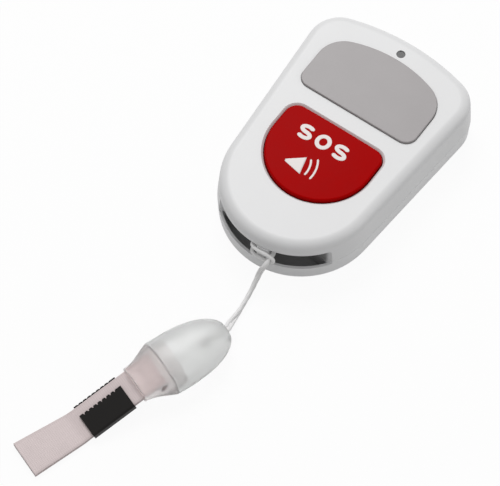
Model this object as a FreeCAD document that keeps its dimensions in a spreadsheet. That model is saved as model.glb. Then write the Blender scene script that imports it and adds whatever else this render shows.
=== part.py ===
import FreeCAD, Part
import math
import os
import re
import Sketcher
from FreeCAD import Placement, Rotation, Vector

# Sizes, in millimetres and degrees
# The body stands on its flat back at z = 0, with its lanyard end towards -Y and its face up.
SIZES = {
    # Outline of the body, seen from the front
    "body_length": 66.0,
    "body_width": 44.8,
    "body_depth": 14.1,
    "foot_radius": 19.5,
    "shoulder_radius": 8.8,
    "crown_radius": 57.0,
    # The two moulded covers
    "parting_height": 6.2,
    "wall": 1.6,
    "front_skin": 1.6,
    "floor_thickness": 1.5,
    "front_draft": 5.0,
    "rear_draft": 2.0,
    "front_edge_radius": 2.5,
    "rear_edge_radius": 1.7,
    "parting_bevel": 0.15,
    "lip_width": 0.7,
    "lip_height": 1.0,
    "lip_gap": 0.1,
    # The lanyard post and the two slots beside it
    "slot_height": 4.5,
    "slot_below": 0.95,
    "slot_left_turn": 43.0,
    "slot_right_turn": 56.0,
    "slot_left_slant": 7.0,
    "slot_right_slant": 14.0,
    "slot_corner_radius": 0.8,
    "slot_lip": 0.7,
    "post_turn": 7.2,
    "post_width": 3.4,
    "post_depth": 2.35,
    "post_recess": 0.1,
    "post_corner_radius": 0.9,
    "post_gap": 0.1,
    "rib_radius": 14.3,
    "rib_width": 1.0,
    # Screw bosses
    "boss_radius": 2.8,
    "boss_edge": 4.2,
    "upper_boss_turn": 45.0,
    "lower_boss_turn": -20.0,
    "screw_radius": 0.95,
    "screw_clearance": 0.2,
    "screw_head_radius": 1.75,
    "screw_head_height": 1.0,
    "screw_recess": 0.25,
    "screw_length": 9.0,
    "screw_slot_width": 0.5,
    "screw_slot_depth": 0.6,
    "pilot_radius": 0.85,
    # Button
    "button_foot": 13.2,
    "button_foot_y": -5.5,
    "button_corner": 3.06,
    "button_corner_x": 10.1,
    "button_corner_y": -0.8,
    "button_gap": 0.3,
    "button_rise": 0.8,
    "button_crown": 0.5,
    "button_edge_radius": 0.4,
    "button_wall": 1.3,
    "button_flange": 0.9,
    "button_flange_height": 1.0,
    "button_flange_gap": 0.1,
    "button_travel": 0.5,
    "button_stem_radius": 2.0,
    "button_rib_width": 0.9,
    "button_rib_length": 18.0,
    "bevel": 0.5,
    # Face plate
    "plate_half_width": 16.05,
    "plate_margin": 7.3,
    "plate_length": 18.4,
    "plate_arch": 32.0,
    "plate_upper_corner": 7.36,
    "plate_lower_corner": 3.05,
    "plate_thickness": 1.05,
    "plate_recess": 0.5,
    "plate_gap": 0.12,
    "plate_edge_radius": 0.2,
    # Lamp and its window
    "lamp_edge": 5.25,
    "lamp_radius": 1.5,
    "lamp_rim_radius": 1.9,
    "lamp_rim_height": 0.8,
    "lamp_gap": 0.5,
    "window_radius": 1.05,
    "window_gap": 0.05,
    "window_flange_radius": 1.6,
    "window_flange_height": 0.8,
    "window_recess": 0.25,
    # Circuit board and what stands on it
    "board_thickness": 1.2,
    "board_half_width": 13.6,
    "board_rib_gap": 0.6,
    "board_edge": 3.1,
    "board_corner": 5.0,
    "board_boss_gap": 0.4,
    "standoff_radius": 2.0,
    "standoff_x": 10.6,
    "standoff_edge": 14.4,
    "lower_standoff_run": 9.3,
    "board_screw_head_radius": 1.7,
    "board_screw_head_height": 0.9,
    "board_screw_length": 4.0,
    "switch_y": -8.4,
    "switch_side": 6.2,
    "switch_base_height": 2.2,
    "switch_cover_height": 0.3,
    "switch_well_radius": 2.5,
    "switch_well_floor": 0.5,
    "switch_hole_radius": 1.95,
    "plunger_radius": 1.7,
    "plunger_flange_radius": 2.2,
    "plunger_flange_height": 0.5,
    "plunger_margin": 0.3,
    "press_gap": 0.1,
    "chip_length": 6.2,
    "chip_width": 4.0,
    "chip_height": 1.5,
    "chip_y": 4.0,
    "lead_pitch": 1.27,
    "lead_width": 0.42,
    "lead_gauge": 0.22,
    "lead_reach": 1.1,
    "chip_standoff": 0.1,
    "can_length": 10.6,
    "can_width": 3.8,
    "can_height": 3.3,
    "can_rim": 0.5,
    "can_rim_height": 0.5,
    "can_y": 12.4,
    "antenna_half_width": 9.4,
    "antenna_edge": 9.8,
    "antenna_height": 3.6,
    "antenna_bend": 1.6,
    "antenna_radius": 0.4,
    "chip_part_length": 1.6,
    "chip_part_width": 0.8,
    "chip_part_height": 0.55,
    "parts_side": 9.5,
    "parts_top": 6.0,
    "parts_pitch": 2.6,
    "parts_low": -15.4,
    "parts_inner": 3.2,
    "parts_outer": 6.0,
    # Coin cell and the metal that holds it
    "cell_radius": 10.0,
    "cell_can_height": 2.8,
    "cell_edge_radius": 0.35,
    "cell_cap_radius": 8.8,
    "cell_cap_height": 0.4,
    "cell_y": 4.0,
    "contact_radius": 3.5,
    "contact_gauge": 0.2,
    "contact_bump_radius": 1.2,
    "contact_bump": 0.15,
    "clip_gauge": 0.35,
    "clip_width": 8.0,
    "clip_side_gap": 0.3,
    "clip_foot": 2.0,
    "clip_bend": 0.6,
    "clip_floor_gap": 1.0,
    # Lanyard cap, from its tip to its mouth; the tip is measured from the end of the body's foot
    "cap_tip_side": 6.1,
    "cap_tip_run": 19.0,
    "strap_heading": -20.3,
    "cap_width": 14.3,
    "cap_height": 9.4,
    "cap_belly": 15.1,
    "cap_length": 17.4,
    "cap_fullness": 2.3,
    "cap_nose": 0.45,
    "cap_wall": 1.0,
    "cap_hole_width": 2.7,
    "cap_hole_height": 1.6,
    # The holder that plugs into the cap and carries the strap
    "plug_length": 3.2,
    "plug_gap": 0.1,
    "holder_length": 7.2,
    "holder_end_width": 9.4,
    "holder_end_height": 4.8,
    "holder_slot_height": 1.9,
    "holder_room_height": 3.3,
    "holder_room_depth": 4.1,
    "holder_room_corner": 0.25,
    "bar_radius": 0.85,
    "bar_depth": 1.9,
    # Ribbon strap, folded round the bar of the holder
    "strap_width": 8.0,
    "strap_end_width": 9.3,
    "strap_spread_start": 39.0,
    "strap_gauge": 0.62,
    "strap_gap": 0.06,
    "strap_side_gap": 0.1,
    "strap_length": 54.0,
    "strap_slope_end": 40.6,
    "strap_bend": 6.0,
    "strap_lift": 0.03,
    # Metal clamp folded round the strap, with a low lip at its far edge
    "clamp_start": 27.0,
    "clamp_length": 11.4,
    "clamp_reach": 5.6,
    "clamp_lip": 0.25,
    "clamp_gauge": 0.4,
    "clamp_gap": 0.05,
    "clamp_bend": 0.5,
    "clamp_tooth": 0.5,
    "clamp_tooth_pitch": 1.2,
    # Lanyard cord
    "cord_diameter": 0.9,
    "knot_run": 3.7,
    "knot_radius": 1.3,
    "knot_turn_radius": 0.5,
    "knot_turn_pitch": 0.85,
}

# Heights worked out from the sizes, as formulas
SKIN_UNDER = "(body_depth - front_skin)"
BOARD_UNDER = ("(floor_thickness + clip_floor_gap + clip_gauge + cell_can_height + cell_cap_height"
               " + contact_gauge + contact_bump)")
BOARD_TOP = f"({BOARD_UNDER} + board_thickness)"
CELL_LOW = "(floor_thickness + clip_floor_gap + clip_gauge)"
SWITCH_TOP = f"({BOARD_TOP} + switch_base_height + switch_cover_height)"
PLUNGER_TOP = f"({SWITCH_TOP} + button_travel + plunger_margin)"
FLANGE_LOW = f"({SKIN_UNDER} - button_flange_gap - button_flange_height)"
FOOT_END = "(-body_length / 2)"
FOOT_Y = "(foot_radius - body_length / 2)"
CROWN_Y = "(body_length / 2 - crown_radius)"
SHOULDER_X = "(body_width / 2 - shoulder_radius)"
SHOULDER_Y = f"({CROWN_Y} + sqrt((crown_radius - shoulder_radius) ^ 2 - {SHOULDER_X} ^ 2))"
UPPER_BOSS = (f"({SHOULDER_X} + (shoulder_radius - boss_edge) * cos(upper_boss_turn))",
              f"({SHOULDER_Y} + (shoulder_radius - boss_edge) * sin(upper_boss_turn))")
LOWER_BOSS = ("((foot_radius - boss_edge) * cos(lower_boss_turn))",
              f"({FOOT_Y} + (foot_radius - boss_edge) * sin(lower_boss_turn))")
SCREW_PLACES = (UPPER_BOSS, (f"-{UPPER_BOSS[0]}", UPPER_BOSS[1]),
                LOWER_BOSS, (f"-{LOWER_BOSS[0]}", LOWER_BOSS[1]))
STANDOFF_Y = "(body_length / 2 - standoff_edge)"
STANDOFFS = (("standoff_x", STANDOFF_Y), ("-standoff_x", STANDOFF_Y),
             ("0", f"({FOOT_Y} - lower_standoff_run)"))
PLATE_APEX = "(body_length / 2 - plate_margin)"
LAMP_Y = "(body_length / 2 - lamp_edge)"
BOARD_END = "(body_length / 2 - board_edge)"
ANTENNA_Y = "(body_length / 2 - antenna_edge)"

# Places of the small chip parts on the board: a column on either side and a row below the switch
CHIP_PARTS = [(side, f"parts_top - parts_pitch * {step}") for side in ("-parts_side", "parts_side")
              for step in range(3)]
CHIP_PARTS += [(across, "parts_low") for across in
               ("-parts_outer", "-parts_inner", "parts_inner", "parts_outer")]

CAP_AXIS = "(cap_height / 2)"
PLUG_START = "(cap_length - plug_length)"
BAR_PLACE = "(cap_length + bar_depth)"
HOLDER_END = "(cap_length + holder_length)"

document = FreeCAD.newDocument("panic_button")
sheet = document.addObject("Spreadsheet::Sheet", "sizes")
for row, (size_name, size) in enumerate(SIZES.items(), start=1):
    sheet.set(f"A{row}", size_name)
    sheet.set(f"B{row}", str(size))
    sheet.setAlias(f"B{row}", size_name)
document.recompute()
pieces = []


# Formulas and sketches

def bound(formula):
    """The formula with each size's name pointing at its cell."""
    return re.sub(r"[a-z_]+", lambda word: f"sizes.{word[0]}" if word[0] in SIZES else word[0], formula)


def value(formula):
    """What a formula of sizes comes to now."""
    return float(sheet.evalExpression(bound(formula)))


def new_piece(label):
    """A body for one physical piece, listed for export."""
    body = document.addObject("PartDesign::Body", label)
    body.Label = label
    pieces.append(body)
    return body


def own(body, role):
    """One of the body's own planes or axes."""
    return next(feature for feature in body.Origin.OriginFeatures if feature.Role == role)


def sketch_on(body, name, height="0", role="XY_Plane"):
    """An empty sketch on one of the body's own planes, moved along the plane's normal."""
    sketch = body.newObject("Sketcher::SketchObject", name)
    sketch.AttachmentSupport = [(own(body, role), "")]
    sketch.MapMode = "FlatFace"
    if height != "0":
        sketch.setExpression("AttachmentOffset.Base.z", bound(height))
    return sketch


def tie(sketch, kind, *where_and_formula):
    """Add a dimension to a sketch and tie it to a formula."""
    *where, formula = where_and_formula
    index = sketch.addConstraint(Sketcher.Constraint(kind, *where, value(formula)))
    sketch.setExpression(f"Constraints[{index}]", bound(formula))


def place(sketch, geometry, point, x, y):
    """Fix one point of a sketch by formulas for its two coordinates."""
    for kind, axis, formula in (("DistanceX", -2, x), ("DistanceY", -1, y)):
        if formula == "0":
            sketch.addConstraint(Sketcher.Constraint("PointOnObject", geometry, point, axis))
        else:
            tie(sketch, kind, -1, 1, geometry, point, formula)


def circle(sketch, x, y, radius):
    """A circle placed and sized by formulas."""
    ring = Part.Circle(Vector(value(x), value(y), 0), Vector(0, 0, 1), value(radius))
    geometry = sketch.addGeometry(ring)
    place(sketch, geometry, 3, x, y)
    tie(sketch, "Radius", geometry, radius)


def polyline(sketch, corners, closed=True):
    """Straight lines through corners (x, y) or (x, y, bend radius), with a tangent arc at each bend."""
    points = [Vector(value(corner[0]), value(corner[1]), 0) for corner in corners]
    bends = [corner[2] if len(corner) > 2 else None for corner in corners]
    count = len(points)
    starts, ends, arcs = list(points), list(points), {}
    for index in range(count):
        if bends[index] is None:
            continue
        point, radius = points[index], value(bends[index])
        back = (points[index - 1] - point).normalize()
        ahead = (points[(index + 1) % count] - point).normalize()
        half = back.getAngle(ahead) / 2
        ends[index] = point + back * (radius / math.tan(half))
        starts[index] = point + ahead * (radius / math.tan(half))
        centre = point + (back + ahead).normalize() * (radius / math.sin(half))
        left_turn = back.cross(ahead).z < 0
        first, last = (ends, starts) if left_turn else (starts, ends)
        begin, stop = (math.atan2(end[index].y - centre.y, end[index].x - centre.x) for end in (first, last))
        stop += 2 * math.pi if stop <= begin else 0
        ring = Part.Circle(centre, Vector(0, 0, 1), radius)
        arcs[index] = (Part.ArcOfCircle(ring, begin, stop), left_turn)
    spans = range(count if closed else count - 1)
    lines = [sketch.addGeometry(Part.LineSegment(starts[i], ends[(i + 1) % count])) for i in spans]
    for index, corner in enumerate(corners):
        before = lines[index - 1] if closed or index else None
        after = lines[index] if closed or index < count - 1 else None
        if index in arcs:
            curve, left_turn = arcs[index]
            arc = sketch.addGeometry(curve)
            sketch.addConstraint(Sketcher.Constraint("Tangent", before, 2, arc, 1 if left_turn else 2))
            sketch.addConstraint(Sketcher.Constraint("Tangent", arc, 2 if left_turn else 1, after, 1))
            tie(sketch, "Radius", arc, corner[2])
            sharp = sketch.addGeometry(Part.Point(points[index]), True)
            sketch.addConstraint(Sketcher.Constraint("PointOnObject", sharp, 1, before))
            sketch.addConstraint(Sketcher.Constraint("PointOnObject", sharp, 1, after))
            place(sketch, sharp, 1, corner[0], corner[1])
        elif after is None:
            place(sketch, before, 2, corner[0], corner[1])
        else:
            if before is not None:
                sketch.addConstraint(Sketcher.Constraint("Coincident", before, 2, after, 1))
            place(sketch, after, 1, corner[0], corner[1])
    return sketch


def rounded_outline(sketch, circles):
    """The smooth outline round circles (x, y, radius), listed counter-clockwise.

    Neighbours are joined by their outer tangent line. A big arc that touches a small one from
    inside joins it directly, and then the small one's y, given as ("free", y), is left to that touch.
    """
    centres = [Vector(value(x), value(y[1] if isinstance(y, tuple) else y), 0) for x, y, radius in circles]
    radii = [value(radius) for x, y, radius in circles]
    count = len(circles)
    leave, enter, direct = [None] * count, [None] * count, [False] * count
    for here in range(count):
        there = (here + 1) % count
        span = centres[there] - centres[here]
        direct[here] = abs(span.Length - abs(radii[here] - radii[there])) < 1e-5
        if direct[here]:
            normal = span.normalize() * (1 if radii[here] > radii[there] else -1)
        else:
            lean = (radii[here] - radii[there]) / span.Length
            along = span.normalize()
            normal = along * lean + Vector(along.y, -along.x, 0) * math.sqrt(1 - lean * lean)
        leave[here] = math.atan2(normal.y, normal.x)
        enter[there] = leave[here]
    arcs = []
    for here in range(count):
        stop = leave[here] if leave[here] > enter[here] else leave[here] + 2 * math.pi
        ring = Part.Circle(centres[here], Vector(0, 0, 1), radii[here])
        arcs.append(sketch.addGeometry(Part.ArcOfCircle(ring, enter[here], stop)))
    for here, (x, y, radius) in enumerate(circles):
        there = (here + 1) % count
        if direct[here]:
            sketch.addConstraint(Sketcher.Constraint("Tangent", arcs[here], 2, arcs[there], 1))
        else:
            ends = (sketch.Geometry[arcs[here]].EndPoint, sketch.Geometry[arcs[there]].StartPoint)
            line = sketch.addGeometry(Part.LineSegment(*ends))
            sketch.addConstraint(Sketcher.Constraint("Tangent", arcs[here], 2, line, 1))
            sketch.addConstraint(Sketcher.Constraint("Tangent", line, 2, arcs[there], 1))
        if isinstance(y, tuple):
            tie(sketch, "DistanceX", -1, 1, arcs[here], 3, x)
        else:
            place(sketch, arcs[here], 3, x, y)
        tie(sketch, "Radius", arcs[here], radius)
    return sketch


def arc_band(sketch, inner, outer, start, stop):
    """Part of a ring round the foot's centre, between two radii and two angles from +X."""
    centre = Vector(0, value(FOOT_Y), 0)
    angles = [math.radians(value(start)), math.radians(value(stop))]
    arcs = []
    for radius in (inner, outer):
        ring = Part.Circle(centre, Vector(0, 0, 1), value(radius))
        arc = sketch.addGeometry(Part.ArcOfCircle(ring, *angles))
        place(sketch, arc, 3, "0", FOOT_Y)
        tie(sketch, "Radius", arc, radius)
        arcs.append(arc)
    for point, angle in ((1, start), (2, stop)):
        ends = [sketch.getPoint(arc, point) for arc in arcs]
        line = sketch.addGeometry(Part.LineSegment(*ends))
        sketch.addConstraint(Sketcher.Constraint("Coincident", line, 1, arcs[0], point))
        sketch.addConstraint(Sketcher.Constraint("Coincident", line, 2, arcs[1], point))
        sketch.addConstraint(Sketcher.Constraint("PointOnObject", arcs[0], 3, line))
        index = sketch.addConstraint(Sketcher.Constraint("Angle", line, math.radians(value(angle))))
        sketch.setExpression(f"Constraints[{index}]", bound(f"({angle}) * 1 deg"))
    return sketch


def slot_band(sketch, outer):
    """The lanyard's room, from the rib out to a radius, with ends that slant outwards."""
    centre, arcs = Vector(0, value(FOOT_Y), 0), []
    for radius in ("rib_radius", outer):
        depth = f"((foot_radius - ({radius})) / (foot_radius - rib_radius))"
        turns = (f"(-90 - slot_left_turn + slot_left_slant * {depth})",
                 f"(-90 + slot_right_turn - slot_right_slant * {depth})")
        ring = Part.Circle(centre, Vector(0, 0, 1), value(radius))
        arc = sketch.addGeometry(Part.ArcOfCircle(ring, *(math.radians(value(turn)) for turn in turns)))
        place(sketch, arc, 3, "0", FOOT_Y)
        tie(sketch, "Radius", arc, radius)
        for point, turn in zip((1, 2), turns):
            tie(sketch, "DistanceX", -1, 1, arc, point, f"({radius}) * cos({turn})")
        arcs.append(arc)
    for point in (1, 2):
        line = sketch.addGeometry(Part.LineSegment(*(sketch.getPoint(arc, point) for arc in arcs)))
        sketch.addConstraint(Sketcher.Constraint("Coincident", line, 1, arcs[0], point))
        sketch.addConstraint(Sketcher.Constraint("Coincident", line, 2, arcs[1], point))
    return sketch


def room_walls(body, name, height, length):
    """The rib behind the lanyard's room and the solid walls that close it at either end."""
    rib = sketch_on(body, f"{name}_rib", height)
    arc_band(rib, "rib_radius - rib_width", "rib_radius", "-180 - lower_boss_turn", "lower_boss_turn")
    pad(body, rib, length)
    ends = sketch_on(body, f"{name}_room_ends", height)
    inner, outer = "rib_radius - rib_width / 2", "foot_radius - wall / 2"
    arc_band(ends, inner, outer, "-180 - lower_boss_turn", "-90 - slot_left_turn + slot_left_slant")
    arc_band(ends, inner, outer, "-90 + slot_right_turn - slot_right_slant", "lower_boss_turn")
    pad(body, ends, length)


def ellipse(sketch, height, width, tall):
    """An ellipse centred on the sketch's upright axis, placed and sized by formulas."""
    across, up = value(width) / 2, value(tall) / 2
    geometry = sketch.addGeometry(Part.Ellipse(Vector(0, value(height), 0), across, up))
    sketch.exposeInternalGeometry(geometry)
    place(sketch, geometry, 3, "0", height)
    tie(sketch, "Distance", geometry + 1, width)
    tie(sketch, "Distance", geometry + 2, tall)
    sketch.addConstraint(Sketcher.Constraint("Horizontal", geometry + 1))
    return sketch


# Outlines that several pieces share

def body_outline(sketch, inset="0"):
    """The body's outline: round foot, flared sides, round shoulders and an arched crown."""
    shoulder = f"shoulder_radius - ({inset})"
    return rounded_outline(sketch, (
        ("0", FOOT_Y, f"foot_radius - ({inset})"),
        (SHOULDER_X, ("free", SHOULDER_Y), shoulder),
        ("0", CROWN_Y, f"crown_radius - ({inset})"),
        (f"-{SHOULDER_X}", ("free", SHOULDER_Y), shoulder),
    ))


def button_outline(sketch, outset="0"):
    """The button's outline: a straight upper edge over a round foot."""
    corner = f"button_corner + ({outset})"
    return rounded_outline(sketch, (
        ("0", "button_foot_y", f"button_foot + ({outset})"),
        ("button_corner_x", "button_corner_y", corner),
        ("-button_corner_x", "button_corner_y", corner),
    ))


def plate_outline(sketch, outset="0"):
    """The face plate's outline: a straight lower edge under an arch."""
    low_x, high_x = "(plate_half_width - plate_lower_corner)", "(plate_half_width - plate_upper_corner)"
    arch_y = f"({PLATE_APEX} - plate_arch)"
    low_y = f"({PLATE_APEX} - plate_length + plate_lower_corner)"
    high_y = f"({arch_y} + sqrt((plate_arch - plate_upper_corner) ^ 2 - {high_x} ^ 2))"
    return rounded_outline(sketch, (
        (f"-{low_x}", low_y, f"plate_lower_corner + ({outset})"),
        (low_x, low_y, f"plate_lower_corner + ({outset})"),
        (high_x, ("free", high_y), f"plate_upper_corner + ({outset})"),
        ("0", arch_y, f"plate_arch + ({outset})"),
        (f"-{high_x}", ("free", high_y), f"plate_upper_corner + ({outset})"),
    ))


# Features

def finish(body, feature):
    """Recompute a body and make sure that its newest feature worked."""
    document.recompute()
    if "Invalid" in feature.State or "Error" in feature.State or feature.Shape.isNull():
        raise RuntimeError(f"{body.Label}: {feature.Name} failed")
    return feature


def pad(body, sketch, length, down=False, both=False, taper=None):
    """Add material from a sketch, upwards along its normal unless told otherwise."""
    feature = body.newObject("PartDesign::Pad", f"{sketch.Name}_pad")
    feature.Profile = sketch
    feature.setExpression("Length", bound(length))
    feature.Reversed = down
    feature.SideType = "Symmetric" if both else "One side"
    if taper is not None:
        feature.setExpression("TaperAngle", bound(taper))
    return finish(body, feature)


def pocket(body, sketch, length, down=False, both=False, taper=None):
    """Remove material from a sketch, upwards along its normal unless told otherwise."""
    before = body.Shape.Volume
    feature = body.newObject("PartDesign::Pocket", f"{sketch.Name}_pocket")
    feature.Profile = sketch
    feature.setExpression("Length", bound(length))
    feature.Reversed = not down
    feature.SideType = "Symmetric" if both else "One side"
    if taper is not None:
        feature.setExpression("TaperAngle", bound(taper))
    finish(body, feature)
    if not feature.Shape.Volume < before - 1e-6:
        raise RuntimeError(f"{body.Label}: {feature.Name} cuts nothing")
    return feature


def edges_where(feature, chosen):
    """The names of a feature's edges that pass a test."""
    names = [f"Edge{number}" for number, edge in enumerate(feature.Shape.Edges, start=1) if chosen(edge)]
    if not names:
        raise RuntimeError(f"{feature.Name} has no such edge")
    return names


def soften(body, kind, name, size, chosen):
    """Round or bevel the chosen edges of the body as it is now: kind is Fillet or Chamfer."""
    base = body.Tip
    feature = body.newObject(f"PartDesign::{kind}", name)
    feature.Base = (base, edges_where(base, chosen))
    feature.setExpression("Radius" if kind == "Fillet" else "Size", bound(size))
    return finish(body, feature)


def level(edge, height):
    """Whether an edge lies flat at a height."""
    box = edge.BoundBox
    return abs(box.ZMin - height) < 1e-4 and abs(box.ZMax - height) < 1e-4


def foot_distance(point):
    """How far a point is from the upright axis of the foot's round."""
    return math.hypot(point.x, point.y - value(FOOT_Y))


# Covers

def make_front_cover():
    body = new_piece("front_cover")
    rise = "body_depth - parting_height"
    shell = body_outline(sketch_on(body, "front_outline", "parting_height"))
    pad(body, shell, rise, taper="-front_draft")
    top = value("body_depth")
    soften(body, "Fillet", "front_edge", "front_edge_radius", lambda edge: level(edge, top))
    low = value("parting_height")
    soften(body, "Chamfer", "front_parting_bevel", "parting_bevel", lambda edge: level(edge, low))
    hollow = body_outline(sketch_on(body, "front_hollow", "parting_height"), "wall")
    pocket(body, hollow, f"{SKIN_UNDER} - parting_height", taper="-front_draft")
    rebate = body_outline(sketch_on(body, "front_rebate", "parting_height"), "wall - lip_width")
    pocket(body, rebate, "lip_height + lip_gap")
    columns = sketch_on(body, "front_bosses", "parting_height")
    for x, y in SCREW_PLACES:
        circle(columns, x, y, "boss_radius")
    pad(body, columns, f"{SKIN_UNDER} - parting_height")
    room_walls(body, "front", "parting_height", f"{SKIN_UNDER} - parting_height")
    pillars = sketch_on(body, "front_standoffs", BOARD_TOP)
    for x, y in STANDOFFS:
        circle(pillars, x, y, "standoff_radius")
    pad(body, pillars, f"{SKIN_UNDER} - {BOARD_TOP}")
    pilots = sketch_on(body, "front_pilots", "parting_height")
    for x, y in SCREW_PLACES + STANDOFFS:
        circle(pilots, x, y, "pilot_radius")
    pocket(body, pilots, f"{SKIN_UNDER} - parting_height - wall / 2")
    opening = button_outline(sketch_on(body, "button_opening", "body_depth"), "button_gap")
    pocket(body, opening, "front_skin", down=True)
    room = value("button_foot + button_corner")
    soften(body, "Chamfer", "button_bevel", "bevel",
           lambda edge: level(edge, top)
           and all(math.hypot(point.X, point.Y - value("button_foot_y")) < room for point in edge.Vertexes))
    seat = plate_outline(sketch_on(body, "plate_seat", "body_depth"), "plate_gap")
    pocket(body, seat, "plate_recess", down=True)
    sight = sketch_on(body, "window_hole", "body_depth")
    circle(sight, "0", LAMP_Y, "window_radius + window_gap")
    pocket(body, sight, "front_skin", down=True)
    notch = slot_band(sketch_on(body, "lanyard_notch", "parting_height"), "foot_radius + 1")
    pocket(body, notch, "slot_height")
    roof = value("parting_height + slot_height")
    inner_side = value("foot_radius - wall")
    soften(body, "Fillet", "notch_corners", "slot_corner_radius",
           lambda edge: level(edge, roof) and edge.Curve.TypeId == "Part::GeomLine"
           and max(foot_distance(end.Point) for end in edge.Vertexes) > inner_side)


def make_rear_cover():
    body = new_piece("rear_cover")
    shell = body_outline(sketch_on(body, "rear_outline", "parting_height"))
    pad(body, shell, "parting_height", down=True, taper="-rear_draft")
    soften(body, "Fillet", "rear_edge", "rear_edge_radius", lambda edge: level(edge, 0))
    high = value("parting_height")
    soften(body, "Chamfer", "rear_parting_bevel", "parting_bevel", lambda edge: level(edge, high))
    hollow = body_outline(sketch_on(body, "rear_hollow", "parting_height"), "wall")
    pocket(body, hollow, "parting_height - floor_thickness", down=True, taper="-rear_draft")
    lip = sketch_on(body, "lip_outline", "parting_height - lip_height")
    body_outline(lip, "wall - lip_width + lip_gap")
    body_outline(lip, "wall")
    pad(body, lip, "lip_height * 2")
    around = sketch_on(body, "lip_gaps", "parting_height")
    for x, y in SCREW_PLACES:
        circle(around, x, y, "boss_radius + screw_clearance")
    pocket(body, around, "lip_height")
    below = sketch_on(body, "lip_notch", "parting_height")
    arc_band(below, "rib_radius", "foot_radius + 1", "-180 - lower_boss_turn", "lower_boss_turn")
    pocket(body, below, "lip_height")
    columns = sketch_on(body, "rear_bosses", "floor_thickness / 2")
    for x, y in SCREW_PLACES:
        circle(columns, x, y, "boss_radius")
    pad(body, columns, "parting_height - floor_thickness / 2")
    room_walls(body, "rear", "floor_thickness / 2", "parting_height - floor_thickness / 2")
    well = slot_band(sketch_on(body, "lanyard_well", "parting_height"), "foot_radius - slot_lip")
    pocket(body, well, "parting_height - floor_thickness", down=True)
    sill = slot_band(sketch_on(body, "slot_sill", "parting_height"), "foot_radius + 1")
    pocket(body, sill, "slot_below", down=True)
    holes = sketch_on(body, "screw_holes")
    for x, y in SCREW_PLACES:
        circle(holes, x, y, "screw_radius + screw_clearance")
    pocket(body, holes, "parting_height + lip_height")
    radius = value("screw_radius + screw_clearance")
    soften(body, "Chamfer", "countersinks", "screw_head_radius - screw_radius + screw_recess",
           lambda edge: level(edge, 0) and abs(edge.Length - 2 * math.pi * radius) < 1e-3)
    make_post(body)


def make_post(body):
    """The post between the slots, with rounded corners where the lanyard goes round it."""
    near, far = "(foot_radius - post_recess - post_depth)", "(foot_radius - post_recess)"
    base = post_sketch(body, "post_base", "floor_thickness / 2")
    square(base, "0", f"-({near} + post_depth / 4)", "post_width / 2", "post_depth / 4")
    pad(body, base, "parting_height - floor_thickness / 2")
    foot = "(slot_below + floor_thickness / 2)"
    post = post_sketch(body, "lanyard_post", f"parting_height - {foot}")
    side, corner = "(post_width / 2 - post_corner_radius)", "post_corner_radius"
    outer, inner = f"-({far} - {corner})", f"-({near} + {corner})"
    rounded_outline(post, ((f"-{side}", outer, corner), (side, outer, corner), (side, inner, corner),
                           (f"-{side}", inner, corner)))
    pad(body, post, f"slot_height - post_gap + {foot}")


def post_sketch(body, name, height):
    """A sketch turned about the foot's centre, so that the post lies along its own -Y axis."""
    sketch = sketch_on(body, name, height)
    sketch.AttachmentOffset = Placement(Vector(), Rotation(Vector(0, 0, 1), value("post_turn")))
    sketch.setExpression("AttachmentOffset.Rotation.Angle", bound("post_turn * 1 deg"))
    sketch.setExpression("AttachmentOffset.Base.y", bound(FOOT_Y))
    return sketch


def make_cover_screws():
    body = new_piece("cover_screws")
    heads = sketch_on(body, "screw_heads", "screw_recess")
    for x, y in SCREW_PLACES:
        circle(heads, x, y, "screw_head_radius")
    pad(body, heads, "screw_head_height", taper="-45")
    shafts = sketch_on(body, "screw_shafts", "screw_recess + screw_head_height / 2")
    for x, y in SCREW_PLACES:
        circle(shafts, x, y, "pilot_radius")
    pad(body, shafts, "screw_length - screw_head_height / 2")
    cross = sketch_on(body, "screw_crosses", "screw_recess")
    for x, y in SCREW_PLACES:
        arm, half = "screw_head_radius * 0.6", "screw_slot_width / 2"
        steps = ((arm, f"-{half}"), (arm, half), (half, half), (half, arm), (f"-{half}", arm),
                 (f"-{half}", half), (f"-{arm}", half), (f"-{arm}", f"-{half}"), (f"-{half}", f"-{half}"),
                 (f"-{half}", f"-{arm}"), (half, f"-{arm}"), (half, f"-{half}"))
        polyline(cross, [(f"{x} + {right}", f"{y} + {up}") for right, up in steps])
    pocket(body, cross, "screw_slot_depth")


# What shows on the face

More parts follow.
